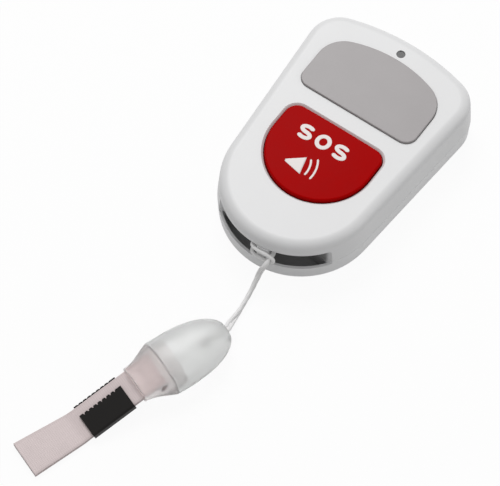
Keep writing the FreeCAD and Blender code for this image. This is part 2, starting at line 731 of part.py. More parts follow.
def make_button_cap():
    body = new_piece("button_cap")
    top = "body_depth + button_rise"
    flange = button_outline(sketch_on(body, "button_flange", FLANGE_LOW), "button_flange")
    pad(body, flange, "button_flange_height")
    key = button_outline(sketch_on(body, "button_key", FLANGE_LOW))
    pad(body, key, f"{top} - {FLANGE_LOW}")
    middle = "switch_y"
    crown = sketch_on(body, "button_crown", f"-({middle})", "XZ_Plane")
    reach, rise = "button_foot + button_flange + 2", "button_crown"
    curve = f"((({reach}) ^ 2 + {rise} ^ 2) / (2 * {rise}))"
    dome(crown, reach, top, rise, curve)
    groove(body, crown)
    low = value(f"{top} - button_crown") - 0.35
    soften(body, "Fillet", "button_edge", "button_edge_radius",
           lambda edge: edge.BoundBox.ZMin > low and edge.BoundBox.ZMax < value(top) - 1e-3)
    hollow = button_outline(sketch_on(body, "button_hollow", FLANGE_LOW), "-button_wall")
    pocket(body, hollow, f"{top} - button_crown - button_wall - {FLANGE_LOW}")
    stem_low = f"({PLUNGER_TOP} + press_gap)"
    under = f"({top} - button_crown - button_wall)"
    ribs = sketch_on(body, "button_ribs", f"{FLANGE_LOW} + button_flange_height / 2")
    half, long = "button_rib_width / 2", "button_rib_length / 2"
    polyline(ribs, ((f"-{long}", f"{middle} - {half}"), (long, f"{middle} - {half}"),
                    (long, f"{middle} + {half}"), (f"-{long}", f"{middle} + {half}")))
    pad(body, ribs, f"{under} - {FLANGE_LOW}")
    stem = sketch_on(body, "button_stem", stem_low)
    circle(stem, "0", middle, "button_stem_radius")
    pad(body, stem, f"{under} - {stem_low} + button_wall / 2")


def dome(sketch, reach, top, rise, curve):
    """A section that lies above a shallow dome, from its centre out to a reach, for a groove."""
    high = f"({top} + 1)"
    edge = f"({top} - {rise})"
    apex, rim = Vector(0, value(top), 0), Vector(value(reach), value(edge), 0)
    centre = Vector(0, value(f"{top} - {curve}"), 0)
    radius = value(curve)
    start = math.atan2(rim.y - centre.y, rim.x)
    ring = Part.Circle(centre, Vector(0, 0, 1), radius)
    arc = sketch.addGeometry(Part.ArcOfCircle(ring, start, math.pi / 2))
    corners = (rim, Vector(rim.x, value(high), 0), Vector(0, value(high), 0), apex)
    lines = [sketch.addGeometry(Part.LineSegment(a, b)) for a, b in zip(corners, corners[1:])]
    sketch.addConstraint(Sketcher.Constraint("Coincident", arc, 1, lines[0], 1))
    sketch.addConstraint(Sketcher.Constraint("Coincident", lines[0], 2, lines[1], 1))
    sketch.addConstraint(Sketcher.Constraint("Coincident", lines[1], 2, lines[2], 1))
    sketch.addConstraint(Sketcher.Constraint("Coincident", lines[2], 2, arc, 2))
    place(sketch, lines[0], 1, reach, edge)
    place(sketch, lines[1], 1, reach, high)
    place(sketch, lines[2], 1, "0", high)
    place(sketch, arc, 2, "0", top)
    sketch.addConstraint(Sketcher.Constraint("PointOnObject", arc, 3, -2))


def groove(body, sketch):
    """Turn a section once round its own upright axis and remove what it sweeps."""
    before = body.Shape.Volume
    feature = body.newObject("PartDesign::Groove", f"{sketch.Name}_groove")
    feature.Profile = sketch
    feature.ReferenceAxis = (sketch, ["V_Axis"])
    feature.Angle = 360
    finish(body, feature)
    if not feature.Shape.Volume < before - 1e-6:
        raise RuntimeError(f"{body.Label}: {feature.Name} cuts nothing")
    return feature


def make_face_plate():
    body = new_piece("face_plate")
    sheet_outline = plate_outline(sketch_on(body, "plate_sheet", "body_depth - plate_recess"))
    pad(body, sheet_outline, "plate_thickness")
    top = value("body_depth - plate_recess + plate_thickness")
    soften(body, "Fillet", "plate_edge", "plate_edge_radius", lambda edge: level(edge, top))


def make_lamp_window():
    body = new_piece("lamp_window")
    flange = sketch_on(body, "window_flange", f"{SKIN_UNDER} - window_flange_height")
    circle(flange, "0", LAMP_Y, "window_flange_radius")
    pad(body, flange, "window_flange_height")
    stem = sketch_on(body, "window_stem", f"{SKIN_UNDER} - window_flange_height")
    circle(stem, "0", LAMP_Y, "window_radius")
    pad(body, stem, "window_flange_height + front_skin - window_recess")


# What the covers hold

def make_status_lamp():
    body = new_piece("status_lamp")
    rim = sketch_on(body, "lamp_rim", BOARD_TOP)
    circle(rim, "0", LAMP_Y, "lamp_rim_radius")
    pad(body, rim, "lamp_rim_height")
    bulb = sketch_on(body, "lamp_bulb", BOARD_TOP)
    circle(bulb, "0", LAMP_Y, "lamp_radius")
    tall = f"{SKIN_UNDER} - window_flange_height - lamp_gap - {BOARD_TOP}"
    pad(body, bulb, tall)
    top = value(f"{BOARD_TOP} + {tall}")
    soften(body, "Fillet", "lamp_dome", "lamp_radius * 0.97", lambda edge: level(edge, top))


def make_circuit_board():
    body = new_piece("circuit_board")
    outline = rounded_outline(sketch_on(body, "board_outline", BOARD_UNDER), (
        ("0", FOOT_Y, "rib_radius - rib_width - board_rib_gap"),
        ("board_half_width - board_corner", f"{BOARD_END} - board_corner", "board_corner"),
        ("-(board_half_width - board_corner)", f"{BOARD_END} - board_corner", "board_corner"),
    ))
    pad(body, outline, "board_thickness")
    holes = sketch_on(body, "board_holes", BOARD_UNDER)
    for x, y in STANDOFFS:
        circle(holes, x, y, "screw_radius + screw_clearance")
    for x, y in SCREW_PLACES:
        circle(holes, x, y, "boss_radius + board_boss_gap")
    pocket(body, holes, "board_thickness")


def make_board_screws():
    body = new_piece("board_screws")
    heads = sketch_on(body, "board_screw_heads", f"{BOARD_UNDER} - board_screw_head_height")
    shafts = sketch_on(body, "board_screw_shafts", BOARD_UNDER)
    for x, y in STANDOFFS:
        circle(heads, x, y, "board_screw_head_radius")
        circle(shafts, x, y, "pilot_radius")
    pad(body, heads, "board_screw_head_height")
    pad(body, shafts, "board_screw_length")


def square(sketch, x, y, half_x, half_y):
    """A rectangle about a centre, all in formulas."""
    return polyline(sketch, ((f"{x} - {half_x}", f"{y} - {half_y}"), (f"{x} + {half_x}", f"{y} - {half_y}"),
                             (f"{x} + {half_x}", f"{y} + {half_y}"), (f"{x} - {half_x}", f"{y} + {half_y}")))


def make_switch():
    base = new_piece("switch_base")
    half = "switch_side / 2"
    block = square(sketch_on(base, "switch_block", BOARD_TOP), "0", "switch_y", half, half)
    pad(base, block, "switch_base_height")
    well = sketch_on(base, "switch_well", f"{BOARD_TOP} + switch_well_floor")
    circle(well, "0", "switch_y", "switch_well_radius")
    pocket(base, well, "switch_base_height - switch_well_floor")
    cover = new_piece("switch_cover")
    lid_height = f"{SWITCH_TOP} - switch_cover_height"
    lid = square(sketch_on(cover, "switch_lid", lid_height), "0", "switch_y", half, half)
    pad(cover, lid, "switch_cover_height")
    hole = sketch_on(cover, "switch_hole", lid_height)
    circle(hole, "0", "switch_y", "switch_hole_radius")
    pocket(cover, hole, "switch_cover_height")
    plunger = new_piece("switch_plunger")
    flange_low = f"({SWITCH_TOP} - switch_cover_height - plunger_flange_height)"
    flange = sketch_on(plunger, "plunger_flange", flange_low)
    circle(flange, "0", "switch_y", "plunger_flange_radius")
    pad(plunger, flange, "plunger_flange_height")
    stem = sketch_on(plunger, "plunger_stem", flange_low)
    circle(stem, "0", "switch_y", "plunger_radius")
    pad(plunger, stem, f"{PLUNGER_TOP} - {flange_low}")


def make_control_chip():
    body = new_piece("control_chip")
    block = sketch_on(body, "chip_block", f"{BOARD_TOP} + chip_standoff")
    square(block, "0", "chip_y", "chip_width / 2", "chip_length / 2")
    pad(body, block, "chip_height")
    lead = sketch_on(body, "chip_lead", "-(chip_y - lead_pitch * 1.5)", "XZ_Plane")
    half, foot = "chip_width / 2", "(chip_width / 2 + lead_reach)"
    shoulder = "(chip_width / 2 + lead_reach * 0.4)"
    low, high = BOARD_TOP, f"({BOARD_TOP} + chip_standoff + chip_height / 2)"
    right = ((foot, low), (foot, f"{low} + lead_gauge"), (f"{shoulder} + lead_gauge", f"{low} + lead_gauge"),
             (f"{shoulder} + lead_gauge", f"{high} + lead_gauge"))
    left = [(f"-{x}" if x in (foot, shoulder) else f"-({x})", y) for x, y in reversed(right)]
    under = ((f"-{shoulder}", low), (f"-{shoulder}", high), (shoulder, high), (shoulder, low))
    polyline(lead, [*right, *left, *under])
    strip = pad(body, lead, "lead_width", both=True)
    row = body.newObject("PartDesign::LinearPattern", "chip_leads")
    row.Originals = [strip]
    row.Direction = (own(body, "Y_Axis"), [""])
    row.setExpression("Length", bound("lead_pitch * 3"))
    row.Occurrences = 4
    body.Tip = row
    finish(body, row)


def make_resonator():
    body = new_piece("resonator")
    steps = (("can_rim_outline", "can_rim", "can_rim_height"), ("can_outline", "0", "can_height"))
    for name, extra, tall in steps:
        outline = rounded_outline(sketch_on(body, name, BOARD_TOP), (
            ("-(can_length - can_width) / 2", "can_y", f"can_width / 2 + {extra}"),
            ("(can_length - can_width) / 2", "can_y", f"can_width / 2 + {extra}"),
        ))
        pad(body, outline, tall)
    top = value(f"{BOARD_TOP} + can_height")
    soften(body, "Fillet", "can_edge", "can_rim", lambda edge: level(edge, top))


def make_loop_antenna():
    body = new_piece("loop_antenna")
    side, high = "antenna_half_width", f"({BOARD_TOP} + antenna_height)"
    route = sketch_on(body, "antenna_route", f"-{ANTENNA_Y}", "XZ_Plane")
    polyline(route, ((f"-{side}", BOARD_TOP), (f"-{side}", high, "antenna_bend"),
                     (side, high, "antenna_bend"), (side, BOARD_TOP)), closed=False)
    section = sketch_on(body, "antenna_wire", BOARD_TOP)
    circle(section, f"-{side}", ANTENNA_Y, "antenna_radius")
    document.recompute()
    sweep = body.newObject("PartDesign::AdditivePipe", "antenna_sweep")
    sweep.Profile = section
    sweep.Spine = (route, [])
    finish(body, sweep)


def make_chip_parts():
    """A group of equal surface-mounted parts."""
    blocks = []
    for number, (x, y) in enumerate(CHIP_PARTS):
        block = document.addObject("Part::Box", f"chip_part_{number}")
        block.setExpression("Length", bound("chip_part_width"))
        block.setExpression("Width", bound("chip_part_length"))
        block.setExpression("Height", bound("chip_part_height"))
        block.setExpression("Placement.Base.x", bound(f"{x} - chip_part_width / 2"))
        block.setExpression("Placement.Base.y", bound(f"{y} - chip_part_length / 2"))
        block.setExpression("Placement.Base.z", bound(BOARD_TOP))
        blocks.append(block)
    group = document.addObject("Part::Compound", "chip_parts")
    group.Links = blocks
    pieces.append(group)


def make_coin_cell():
    body = new_piece("coin_cell")
    can = sketch_on(body, "cell_can", CELL_LOW)
    circle(can, "0", "cell_y", "cell_radius")
    pad(body, can, "cell_can_height")
    low, high = value(CELL_LOW), value(f"{CELL_LOW} + cell_can_height")
    soften(body, "Fillet", "can_edges", "cell_edge_radius",
           lambda edge: level(edge, low) or level(edge, high))
    cap = sketch_on(body, "cell_cap", f"{CELL_LOW} + cell_can_height / 2")
    circle(cap, "0", "cell_y", "cell_cap_radius")
    pad(body, cap, "cell_can_height / 2 + cell_cap_height")


def make_battery_metal():
    contact = new_piece("battery_contact")
    disc = sketch_on(contact, "contact_disc", f"{BOARD_UNDER} - contact_gauge")
    circle(disc, "0", "cell_y", "contact_radius")
    pad(contact, disc, "contact_gauge")
    bump = sketch_on(contact, "contact_bump", f"{BOARD_UNDER} - contact_gauge - contact_bump")
    circle(bump, "0", "cell_y", "contact_bump_radius")
    pad(contact, bump, "contact_bump + contact_gauge / 2")
    clip = new_piece("battery_clip")
    inner, foot = "(cell_radius + clip_side_gap)", "(cell_radius + clip_side_gap + clip_gauge + clip_foot)"
    low, high, gauge = f"({CELL_LOW} - clip_gauge)", BOARD_UNDER, "clip_gauge"
    right = ((f"({inner} + {gauge})", low), (f"({inner} + {gauge})", f"{high} - {gauge}"),
             (foot, f"{high} - {gauge}"), (foot, high), (inner, high), (inner, f"{low} + {gauge}"))
    left = [(f"-{x}", y) for x, y in reversed(right)]
    profile = polyline(sketch_on(clip, "clip_profile", "-cell_y", "XZ_Plane"), [*right, *left])
    pad(clip, profile, "clip_width", both=True)
    reach = value(f"{inner} + {gauge}")
    base = value(low)
    soften(clip, "Fillet", "clip_bends", "clip_bend",
           lambda edge: level(edge, base) and abs(abs(edge.BoundBox.Center.x) - reach) < 1e-3)


# The lanyard, drawn along its own -Y axis from the tip of its cap

def strap_piece(label):
    """A body for a piece of the strap, turned to the way that the strap lies."""
    body = new_piece(label)
    body.Placement = strap_place()
    return body


def strap_place():
    """Where the strap's cap starts and which way the strap lies, turned from -Y about +Z."""
    tip = Vector(value("cap_tip_side"), value(f"{FOOT_END} - cap_tip_run"), 0)
    return Placement(tip, Rotation(Vector(0, 0, 1), value("strap_heading")))


def full_share(run):
    """The share of its full size that the cap has at a distance from its tip."""
    from_belly = f"(({run} + cap_nose - cap_belly) / cap_belly)"
    return f"(1 - abs({from_belly}) ^ cap_fullness) ^ (1 / cap_fullness)"


def cap_section(body, name, run, inset="0"):
    """One ellipse across the cap, at a distance from its tip."""
    share = full_share(run)
    return ellipse(sketch_on(body, name, run, "XZ_Plane"), CAP_AXIS,
                   f"cap_width * {share} - 2 * ({inset})", f"cap_height * {share} - 2 * ({inset})")


def loft(body, kind, sections):
    """Join sections smoothly, to add or to remove: kind is Additive or Subtractive."""
    document.recompute()
    feature = body.newObject(f"PartDesign::{kind}Loft", f"{sections[0].Name}_loft")
    feature.Profile = sections[0]
    feature.Sections = sections[1:]
    return finish(body, feature)


def make_cord_cap():
    body = strap_piece("cord_cap")
    runs = ("0", "cap_belly * 0.07", "cap_belly * 0.2", "cap_belly * 0.42", "cap_belly * 0.7", "cap_belly",
            "cap_length")
    loft(body, "Additive", [cap_section(body, f"cap_{number}", run) for number, run in enumerate(runs)])
    inner = ("cap_wall * 1.6", "cap_belly * 0.2", "cap_belly * 0.42", "cap_belly * 0.7", "cap_belly",
             "cap_length")
    loft(body, "Subtractive",
         [cap_section(body, f"cap_room_{number}", run, "cap_wall") for number, run in enumerate(inner)])
    hole = sketch_on(body, "cap_hole", role="XZ_Plane")
    side, round_end = "(cap_hole_width - cap_hole_height) / 2", "cap_hole_height / 2"
    rounded_outline(hole, ((f"-{side}", CAP_AXIS, round_end), (side, CAP_AXIS, round_end)))
    pocket(body, hole, "cap_wall * 2")


def make_strap_holder():
    body = strap_piece("strap_holder")
    mouth = full_share("cap_length")
    wide, tall = f"(cap_width * {mouth})", f"(cap_height * {mouth})"
    inset = "2 * (cap_wall + plug_gap)"
    plug = ellipse(sketch_on(body, "plug", PLUG_START, "XZ_Plane"), CAP_AXIS,
                   f"{wide} - {inset}", f"{tall} - {inset}")
    pad(body, plug, "plug_length + holder_length / 4")
    sections = []
    for number, (run, share) in enumerate((("0", "1"), ("0.22", "0.74"), ("0.5", "0.36"), ("0.78", "0.08"),
                                           ("1", "0"))):
        sections.append(ellipse(
            sketch_on(body, f"skirt_{number}", f"cap_length + holder_length * {run}", "XZ_Plane"), CAP_AXIS,
            f"holder_end_width + ({wide} - holder_end_width) * {share}",
            f"holder_end_height + ({tall} - holder_end_height) * {share}"))
    loft(body, "Additive", sections)
    half, corner = "(strap_width / 2 + strap_side_gap)", "holder_room_corner"
    side, rise = f"({half} - {corner})", f"(holder_room_height / 2 - {corner})"
    room = rounded_outline(sketch_on(body, "holder_room", PLUG_START, "XZ_Plane"), (
        (f"-{side}", f"{CAP_AXIS} - {rise}", corner), (side, f"{CAP_AXIS} - {rise}", corner),
        (side, f"{CAP_AXIS} + {rise}", corner), (f"-{side}", f"{CAP_AXIS} + {rise}", corner)))
    pocket(body, room, "plug_length + holder_room_depth")
    slot = sketch_on(body, "holder_slot", PLUG_START, "XZ_Plane")
    square(slot, "0", CAP_AXIS, half, "holder_slot_height / 2")
    pocket(body, slot, "plug_length + holder_length")
    bar = sketch_on(body, "holder_bar", role="YZ_Plane")
    circle(bar, f"-{BAR_PLACE}", CAP_AXIS, "bar_radius")
    pad(body, bar, "strap_width + 4 * strap_side_gap", both=True)


def make_strap_ribbon():
    body = strap_piece("strap_ribbon")
    half = "((strap_gauge + strap_gap) / 2)"
    low = f"(strap_lift + strap_gauge + strap_gap / 2)"
    spread = "(bar_radius + 0.05 + strap_gauge / 2)"
    end, slope = "-strap_length", "-strap_slope_end"
    route = sketch_on(body, "strap_route", role="YZ_Plane")
    polyline(route, (
        (end, f"{low} - {half}"), (slope, f"{low} - {half}", "strap_bend"),
        (f"-{HOLDER_END}", f"{CAP_AXIS} - {half}", "strap_bend / 2"),
        (f"-{BAR_PLACE} - 2.6", f"{CAP_AXIS} - {half}", "1"),
        (f"-{BAR_PLACE} - 0.9", f"{CAP_AXIS} - {spread}", "0.8"),
        (f"-{BAR_PLACE} + {spread}", f"{CAP_AXIS} - {spread}", f"{spread} - 0.01"),
        (f"-{BAR_PLACE} + {spread}", f"{CAP_AXIS} + {spread}", f"{spread} - 0.01"),
        (f"-{BAR_PLACE} - 0.9", f"{CAP_AXIS} + {spread}", "0.8"),
        (f"-{BAR_PLACE} - 2.6", f"{CAP_AXIS} + {half}", "1"),
        (f"-{HOLDER_END}", f"{CAP_AXIS} + {half}", "strap_bend / 2"),
        (slope, f"{low} + {half}", "strap_bend"), (end, f"{low} + {half}"),
    ), closed=False)
    section = sketch_on(body, "strap_section", "strap_length", "XZ_Plane")
    square(section, "0", f"{low} - {half}", "strap_end_width / 2", "strap_gauge / 2")
    document.recompute()
    sweep = body.newObject("PartDesign::AdditivePipe", "strap_sweep")
    sweep.Profile = section
    sweep.Spine = (route, [])
    finish(body, sweep)
    sides = sketch_on(body, "strap_sides")
    for way in ("", "-"):
        pinched, spread, beyond = (f"{way}({wide})" for wide in
                                   ("strap_width / 2", "strap_end_width / 2", "strap_end_width"))
        polyline(sides, ((pinched, f"-{PLUG_START}"), (beyond, f"-{PLUG_START}"), (beyond, end),
                         (spread, end), (pinched, "-strap_spread_start")))
    pocket(body, sides, "strap_length", both=True)


def strap_slope():
    """The angle at which the strap comes down from the holder to the table."""
    fall = value(f"{CAP_AXIS} - (strap_lift + strap_gauge + strap_gap / 2)")
    return math.degrees(math.atan2(fall, value(f"strap_slope_end - {HOLDER_END}")))


def make_strap_clamp():
    body = strap_piece("strap_clamp")
    centre = value("clamp_start + clamp_length / 2")
    drop = math.tan(math.radians(strap_slope())) * (centre - value(HOLDER_END))
    tilt = Placement(Vector(0, -centre, value(CAP_AXIS) - drop), Rotation(Vector(1, 0, 0), strap_slope()))
    body.Placement = body.Placement * tilt
    stack = "(strap_gauge + strap_gap / 2 + clamp_gap)"
    edge, inner = "(strap_width / 2 + clamp_gap)", "(strap_width / 2 + clamp_gap - clamp_reach)"
    outer, side, bend = f"({stack} + clamp_gauge)", f"({edge} + clamp_gauge)", "clamp_bend - clamp_gauge"
    profile = polyline(sketch_on(body, "clamp_profile", role="XZ_Plane"), (
        (inner, stack), (edge, stack, bend), (edge, f"-{stack}", bend), (f"-{edge}", f"-{stack}", bend),
        (f"-{edge}", "clamp_lip"), (f"-{side}", "clamp_lip"), (f"-{side}", f"-{outer}", "clamp_bend"),
        (side, f"-{outer}", "clamp_bend"), (side, outer, "clamp_bend"), (inner, outer)))
    pad(body, profile, "clamp_length", both=True)
    jaw = sketch_on(body, "jaw_notch")
    near, far = "-(clamp_length / 2 - clamp_tooth_pitch * 0.75)", "clamp_tooth_pitch / 4"
    polyline(jaw, ((f"{inner} - clamp_gap", near), (f"{inner} + clamp_tooth", f"{near} + {far}"),
                   (f"{inner} - clamp_gap", f"{near} + {far} * 2")))
    row_of_notches(body, "jaw_teeth", pocket(body, jaw, "clamp_gauge * 4"))
    lip = sketch_on(body, "lip_notch", role="YZ_Plane")
    polyline(lip, ((near, "clamp_lip + clamp_gap"), (f"{near} + {far}", "clamp_lip - clamp_tooth"),
                   (f"{near} + {far} * 2", "clamp_lip + clamp_gap")))
    row_of_notches(body, "lip_teeth", pocket(body, lip, "strap_width", down=True))


def row_of_notches(body, name, notch):
    """Repeat one notch along the clamp, which leaves a row of teeth."""
    row = body.newObject("PartDesign::LinearPattern", name)
    row.Originals = [notch]
    row.Direction = (own(body, "Y_Axis"), [""])
    count = int(value("clamp_length / clamp_tooth_pitch")) - 1
    row.setExpression("Length", bound(f"clamp_tooth_pitch * {count - 1}"))
    row.Occurrences = count
    body.Tip = row
    finish(body, row)


# Cord

# The cord's route, chosen by hand: from the knot out of the cap's tip, up to the lanyard post, round
# it in a cow hitch, and back beside itself to the knot. Y is measured from the end of the body's foot.
CORD_ROUTE = [
    (5.37, -22.57, 4.70), (6.75, -18.82, 4.70), (5.90, -16.70, 3.10), (5.10, -14.40, 1.60),
    (4.84, -11.71, 0.55), (4.42, -9.15, 0.50), (4.18, -6.00, 1.30), (4.05, -2.75, 3.40),
    (4.25, -1.25, 5.20), (4.91, -0.95, 8.00), (4.55, 3.65, 8.00), (-0.22, 2.89, 7.60),
    (-0.67, -0.63, 7.00), (5.79, 0.08, 7.00), (5.79, 0.08, 10.00), (-0.67, -0.63, 10.00),
    (-0.22, 2.89, 9.40), (4.55, 3.65, 9.00), (5.03, -1.95, 9.00), (3.20, -2.25, 5.60),
    (2.95, -2.75, 3.40), (3.08, -6.00, 1.30), (3.32, -9.15, 0.50), (3.74, -11.71, 0.55),
    (4.00, -14.40, 1.60), (4.80, -16.70, 3.10), (5.73, -18.44, 4.70), (4.33, -22.19, 4.70),
]


def tangent_path(points):
    """A wire of straight runs joined by tangent arcs, and the smallest radius in it."""
    runs = [(after - before).Length for before, after in zip(points, points[1:])]
    here, edges, radii = points[0], [], []
    for index in range(1, len(points) - 1):
        back = (points[index - 1] - points[index]).normalize()
        ahead = (points[index + 1] - points[index]).normalize()
        half_turn = (math.pi - back.getAngle(ahead)) / 2
        cut = 0.45 * min(runs[index - 1], runs[index])
        radius = cut / math.tan(half_turn)
        inward = (back + ahead).normalize()
        middle = points[index] + inward * (radius / math.cos(half_turn) - radius)
        start, stop = points[index] + back * cut, points[index] + ahead * cut
        edges.append(Part.LineSegment(here, start).toShape())
        edges.append(Part.Arc(start, middle, stop).toShape())
        radii.append(radius)
        here = stop
    edges.append(Part.LineSegment(here, points[-1]).toShape())
    return Part.Wire(edges), radii


def make_cord():
    foot_end = Vector(0, value(FOOT_END), 0)
    points = [foot_end + Vector(*point) for point in CORD_ROUTE]
    route, radii = tangent_path(points)
    first = points[1] - points[0]
    radius = value("cord_diameter / 2")
    section = Part.Wire([Part.Circle(points[0], first, radius).toShape()])
    cord = document.addObject("Part::Feature", "cord")
    cord.Shape = route.makePipeShell([section], True, True)
    cord.Placement = Placement()
    pieces.append(cord)
    expected = math.pi * radius ** 2 * route.Length
    print("cord length", round(route.Length, 1), "radii", [round(bend, 1) for bend in radii])
    print("cord volume", round(cord.Shape.Volume, 3), "expected", round(expected, 3))


def make_cord_knot():
    """A stopper knot of three turns that the cord's two ends run into, behind the cap's hole."""
    heading = strap_place()
    face_on = Rotation(Vector(1, 0, 0), 90)
    turns = []
    for number in range(3):
        turn = document.addObject("Part::Torus", f"knot_turn_{number}")
        turn.setExpression("Radius1", bound("knot_radius - knot_turn_radius"))
        turn.setExpression("Radius2", bound("knot_turn_radius"))
        run = value(f"knot_run + knot_turn_radius + knot_turn_pitch * {number}")
        turn.Placement = heading * Placement(Vector(0, -run, value(CAP_AXIS)), face_on)
        turns.append(turn)
    core = document.addObject("Part::Cylinder", "knot_core")
    core.setExpression("Radius", bound("knot_radius - knot_turn_radius / 3"))
    core.setExpression("Height", bound("knot_turn_pitch * 2 + knot_turn_radius * 2"))
    core.Placement = heading * Placement(Vector(0, -value("knot_run"), value(CAP_AXIS)), face_on)
    knot = document.addObject("Part::MultiFuse", "cord_knot")
    knot.Shapes = [core, *turns]
    knot.Label = "cord_knot"
    pieces.append(knot)


MAKERS = (make_front_cover, make_rear_cover, make_cover_screws, make_button_cap, make_face_plate,
          make_lamp_window, make_status_lamp, make_circuit_board, make_board_screws, make_switch,
          make_control_chip, make_resonator, make_loop_antenna, make_chip_parts, make_coin_cell,
          make_battery_metal, make_cord_cap, make_strap_holder, make_strap_ribbon, make_strap_clamp,
          make_cord, make_cord_knot)
for make in MAKERS:
    make()
document.recompute()

for item in document.Objects:
    if "Invalid" in item.State or "Error" in item.State:
        raise RuntimeError(f"{item.Label} is {item.State}")
for piece in pieces:
    if piece.Shape.isNull() or not piece.Shape.isValid():
        raise RuntimeError(f"{piece.Label} has no valid shape")
os.makedirs("parts", exist_ok=True)
for piece in pieces:
    piece.Shape.exportStep(f"parts/{piece.Label}.step")
    print(piece.Label, len(piece.Shape.Solids), "solids", round(piece.Shape.Volume, 1), "mm3")
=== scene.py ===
import logging
import math
from dataclasses import dataclass
from enum import Enum
from typing import Dict, List, Optional, Sequence, Tuple, Union

import bpy
import numpy as np
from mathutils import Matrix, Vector


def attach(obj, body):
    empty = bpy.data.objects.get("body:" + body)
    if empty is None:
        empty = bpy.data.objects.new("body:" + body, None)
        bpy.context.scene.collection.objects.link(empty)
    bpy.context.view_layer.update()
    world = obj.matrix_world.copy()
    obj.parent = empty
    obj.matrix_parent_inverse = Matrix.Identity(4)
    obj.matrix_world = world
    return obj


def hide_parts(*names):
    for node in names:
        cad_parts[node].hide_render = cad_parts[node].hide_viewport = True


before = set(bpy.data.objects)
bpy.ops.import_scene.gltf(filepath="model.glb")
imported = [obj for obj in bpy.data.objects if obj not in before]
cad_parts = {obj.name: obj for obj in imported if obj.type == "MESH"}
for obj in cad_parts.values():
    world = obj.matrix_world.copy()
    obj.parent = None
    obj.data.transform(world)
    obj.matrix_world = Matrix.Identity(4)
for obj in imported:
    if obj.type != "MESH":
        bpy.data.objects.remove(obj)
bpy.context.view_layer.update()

MM = 0.001
log = logging.getLogger("alarm_pendant")
Point = Tuple[float, float, float]
Colour = Tuple[float, float, float]


# Shader sums and nodes

class Value:
    """A shader socket that takes part in Python sums."""

    def __init__(self, shader: "Shader", socket: bpy.types.NodeSocket) -> None:
        """Wrap one output socket of a shader's node."""
        self.shader = shader
        self.socket = socket

    def __add__(self, other: Union["Value", float]) -> "Value":
        """This plus another."""
        return self.shader.math("ADD", self, other)

    __radd__ = __add__

    def __sub__(self, other: Union["Value", float]) -> "Value":
        """This minus another."""
        return self.shader.math("SUBTRACT", self, other)

    def __rsub__(self, other: float) -> "Value":
        """A number minus this."""
        return self.shader.math("SUBTRACT", other, self)

    def __mul__(self, other: Union["Value", float]) -> "Value":
        """This times another."""
        return self.shader.math("MULTIPLY", self, other)

    __rmul__ = __mul__

    def __truediv__(self, other: Union["Value", float]) -> "Value":
        """This over another."""
        return self.shader.math("DIVIDE", self, other)

    def __pow__(self, power: float) -> "Value":
        """This to a power."""
        return self.shader.math("POWER", self, power)

    def sine(self) -> "Value":
        """The sine of this, in radians."""
        return self.shader.math("SINE", self)

    def size(self) -> "Value":
        """This without its sign."""
        return self.shader.math("ABSOLUTE", self)

    def below(self, limit: float, soft: float) -> "Value":
        """One well below a limit and nought above it, with a soft step between."""
        return self.shader.node(
            "ShaderNodeMapRange", {"interpolation_type": "SMOOTHSTEP"},
            {"Value": self, "From Min": limit - soft, "From Max": limit + soft,
             "To Min": 1.0, "To Max": 0.0})

    def between(self, low: float, high: float, soft: float) -> "Value":
        """One between two limits and nought outside them, with soft steps."""
        return self.below(high, soft) * (1 - self.below(low, soft))


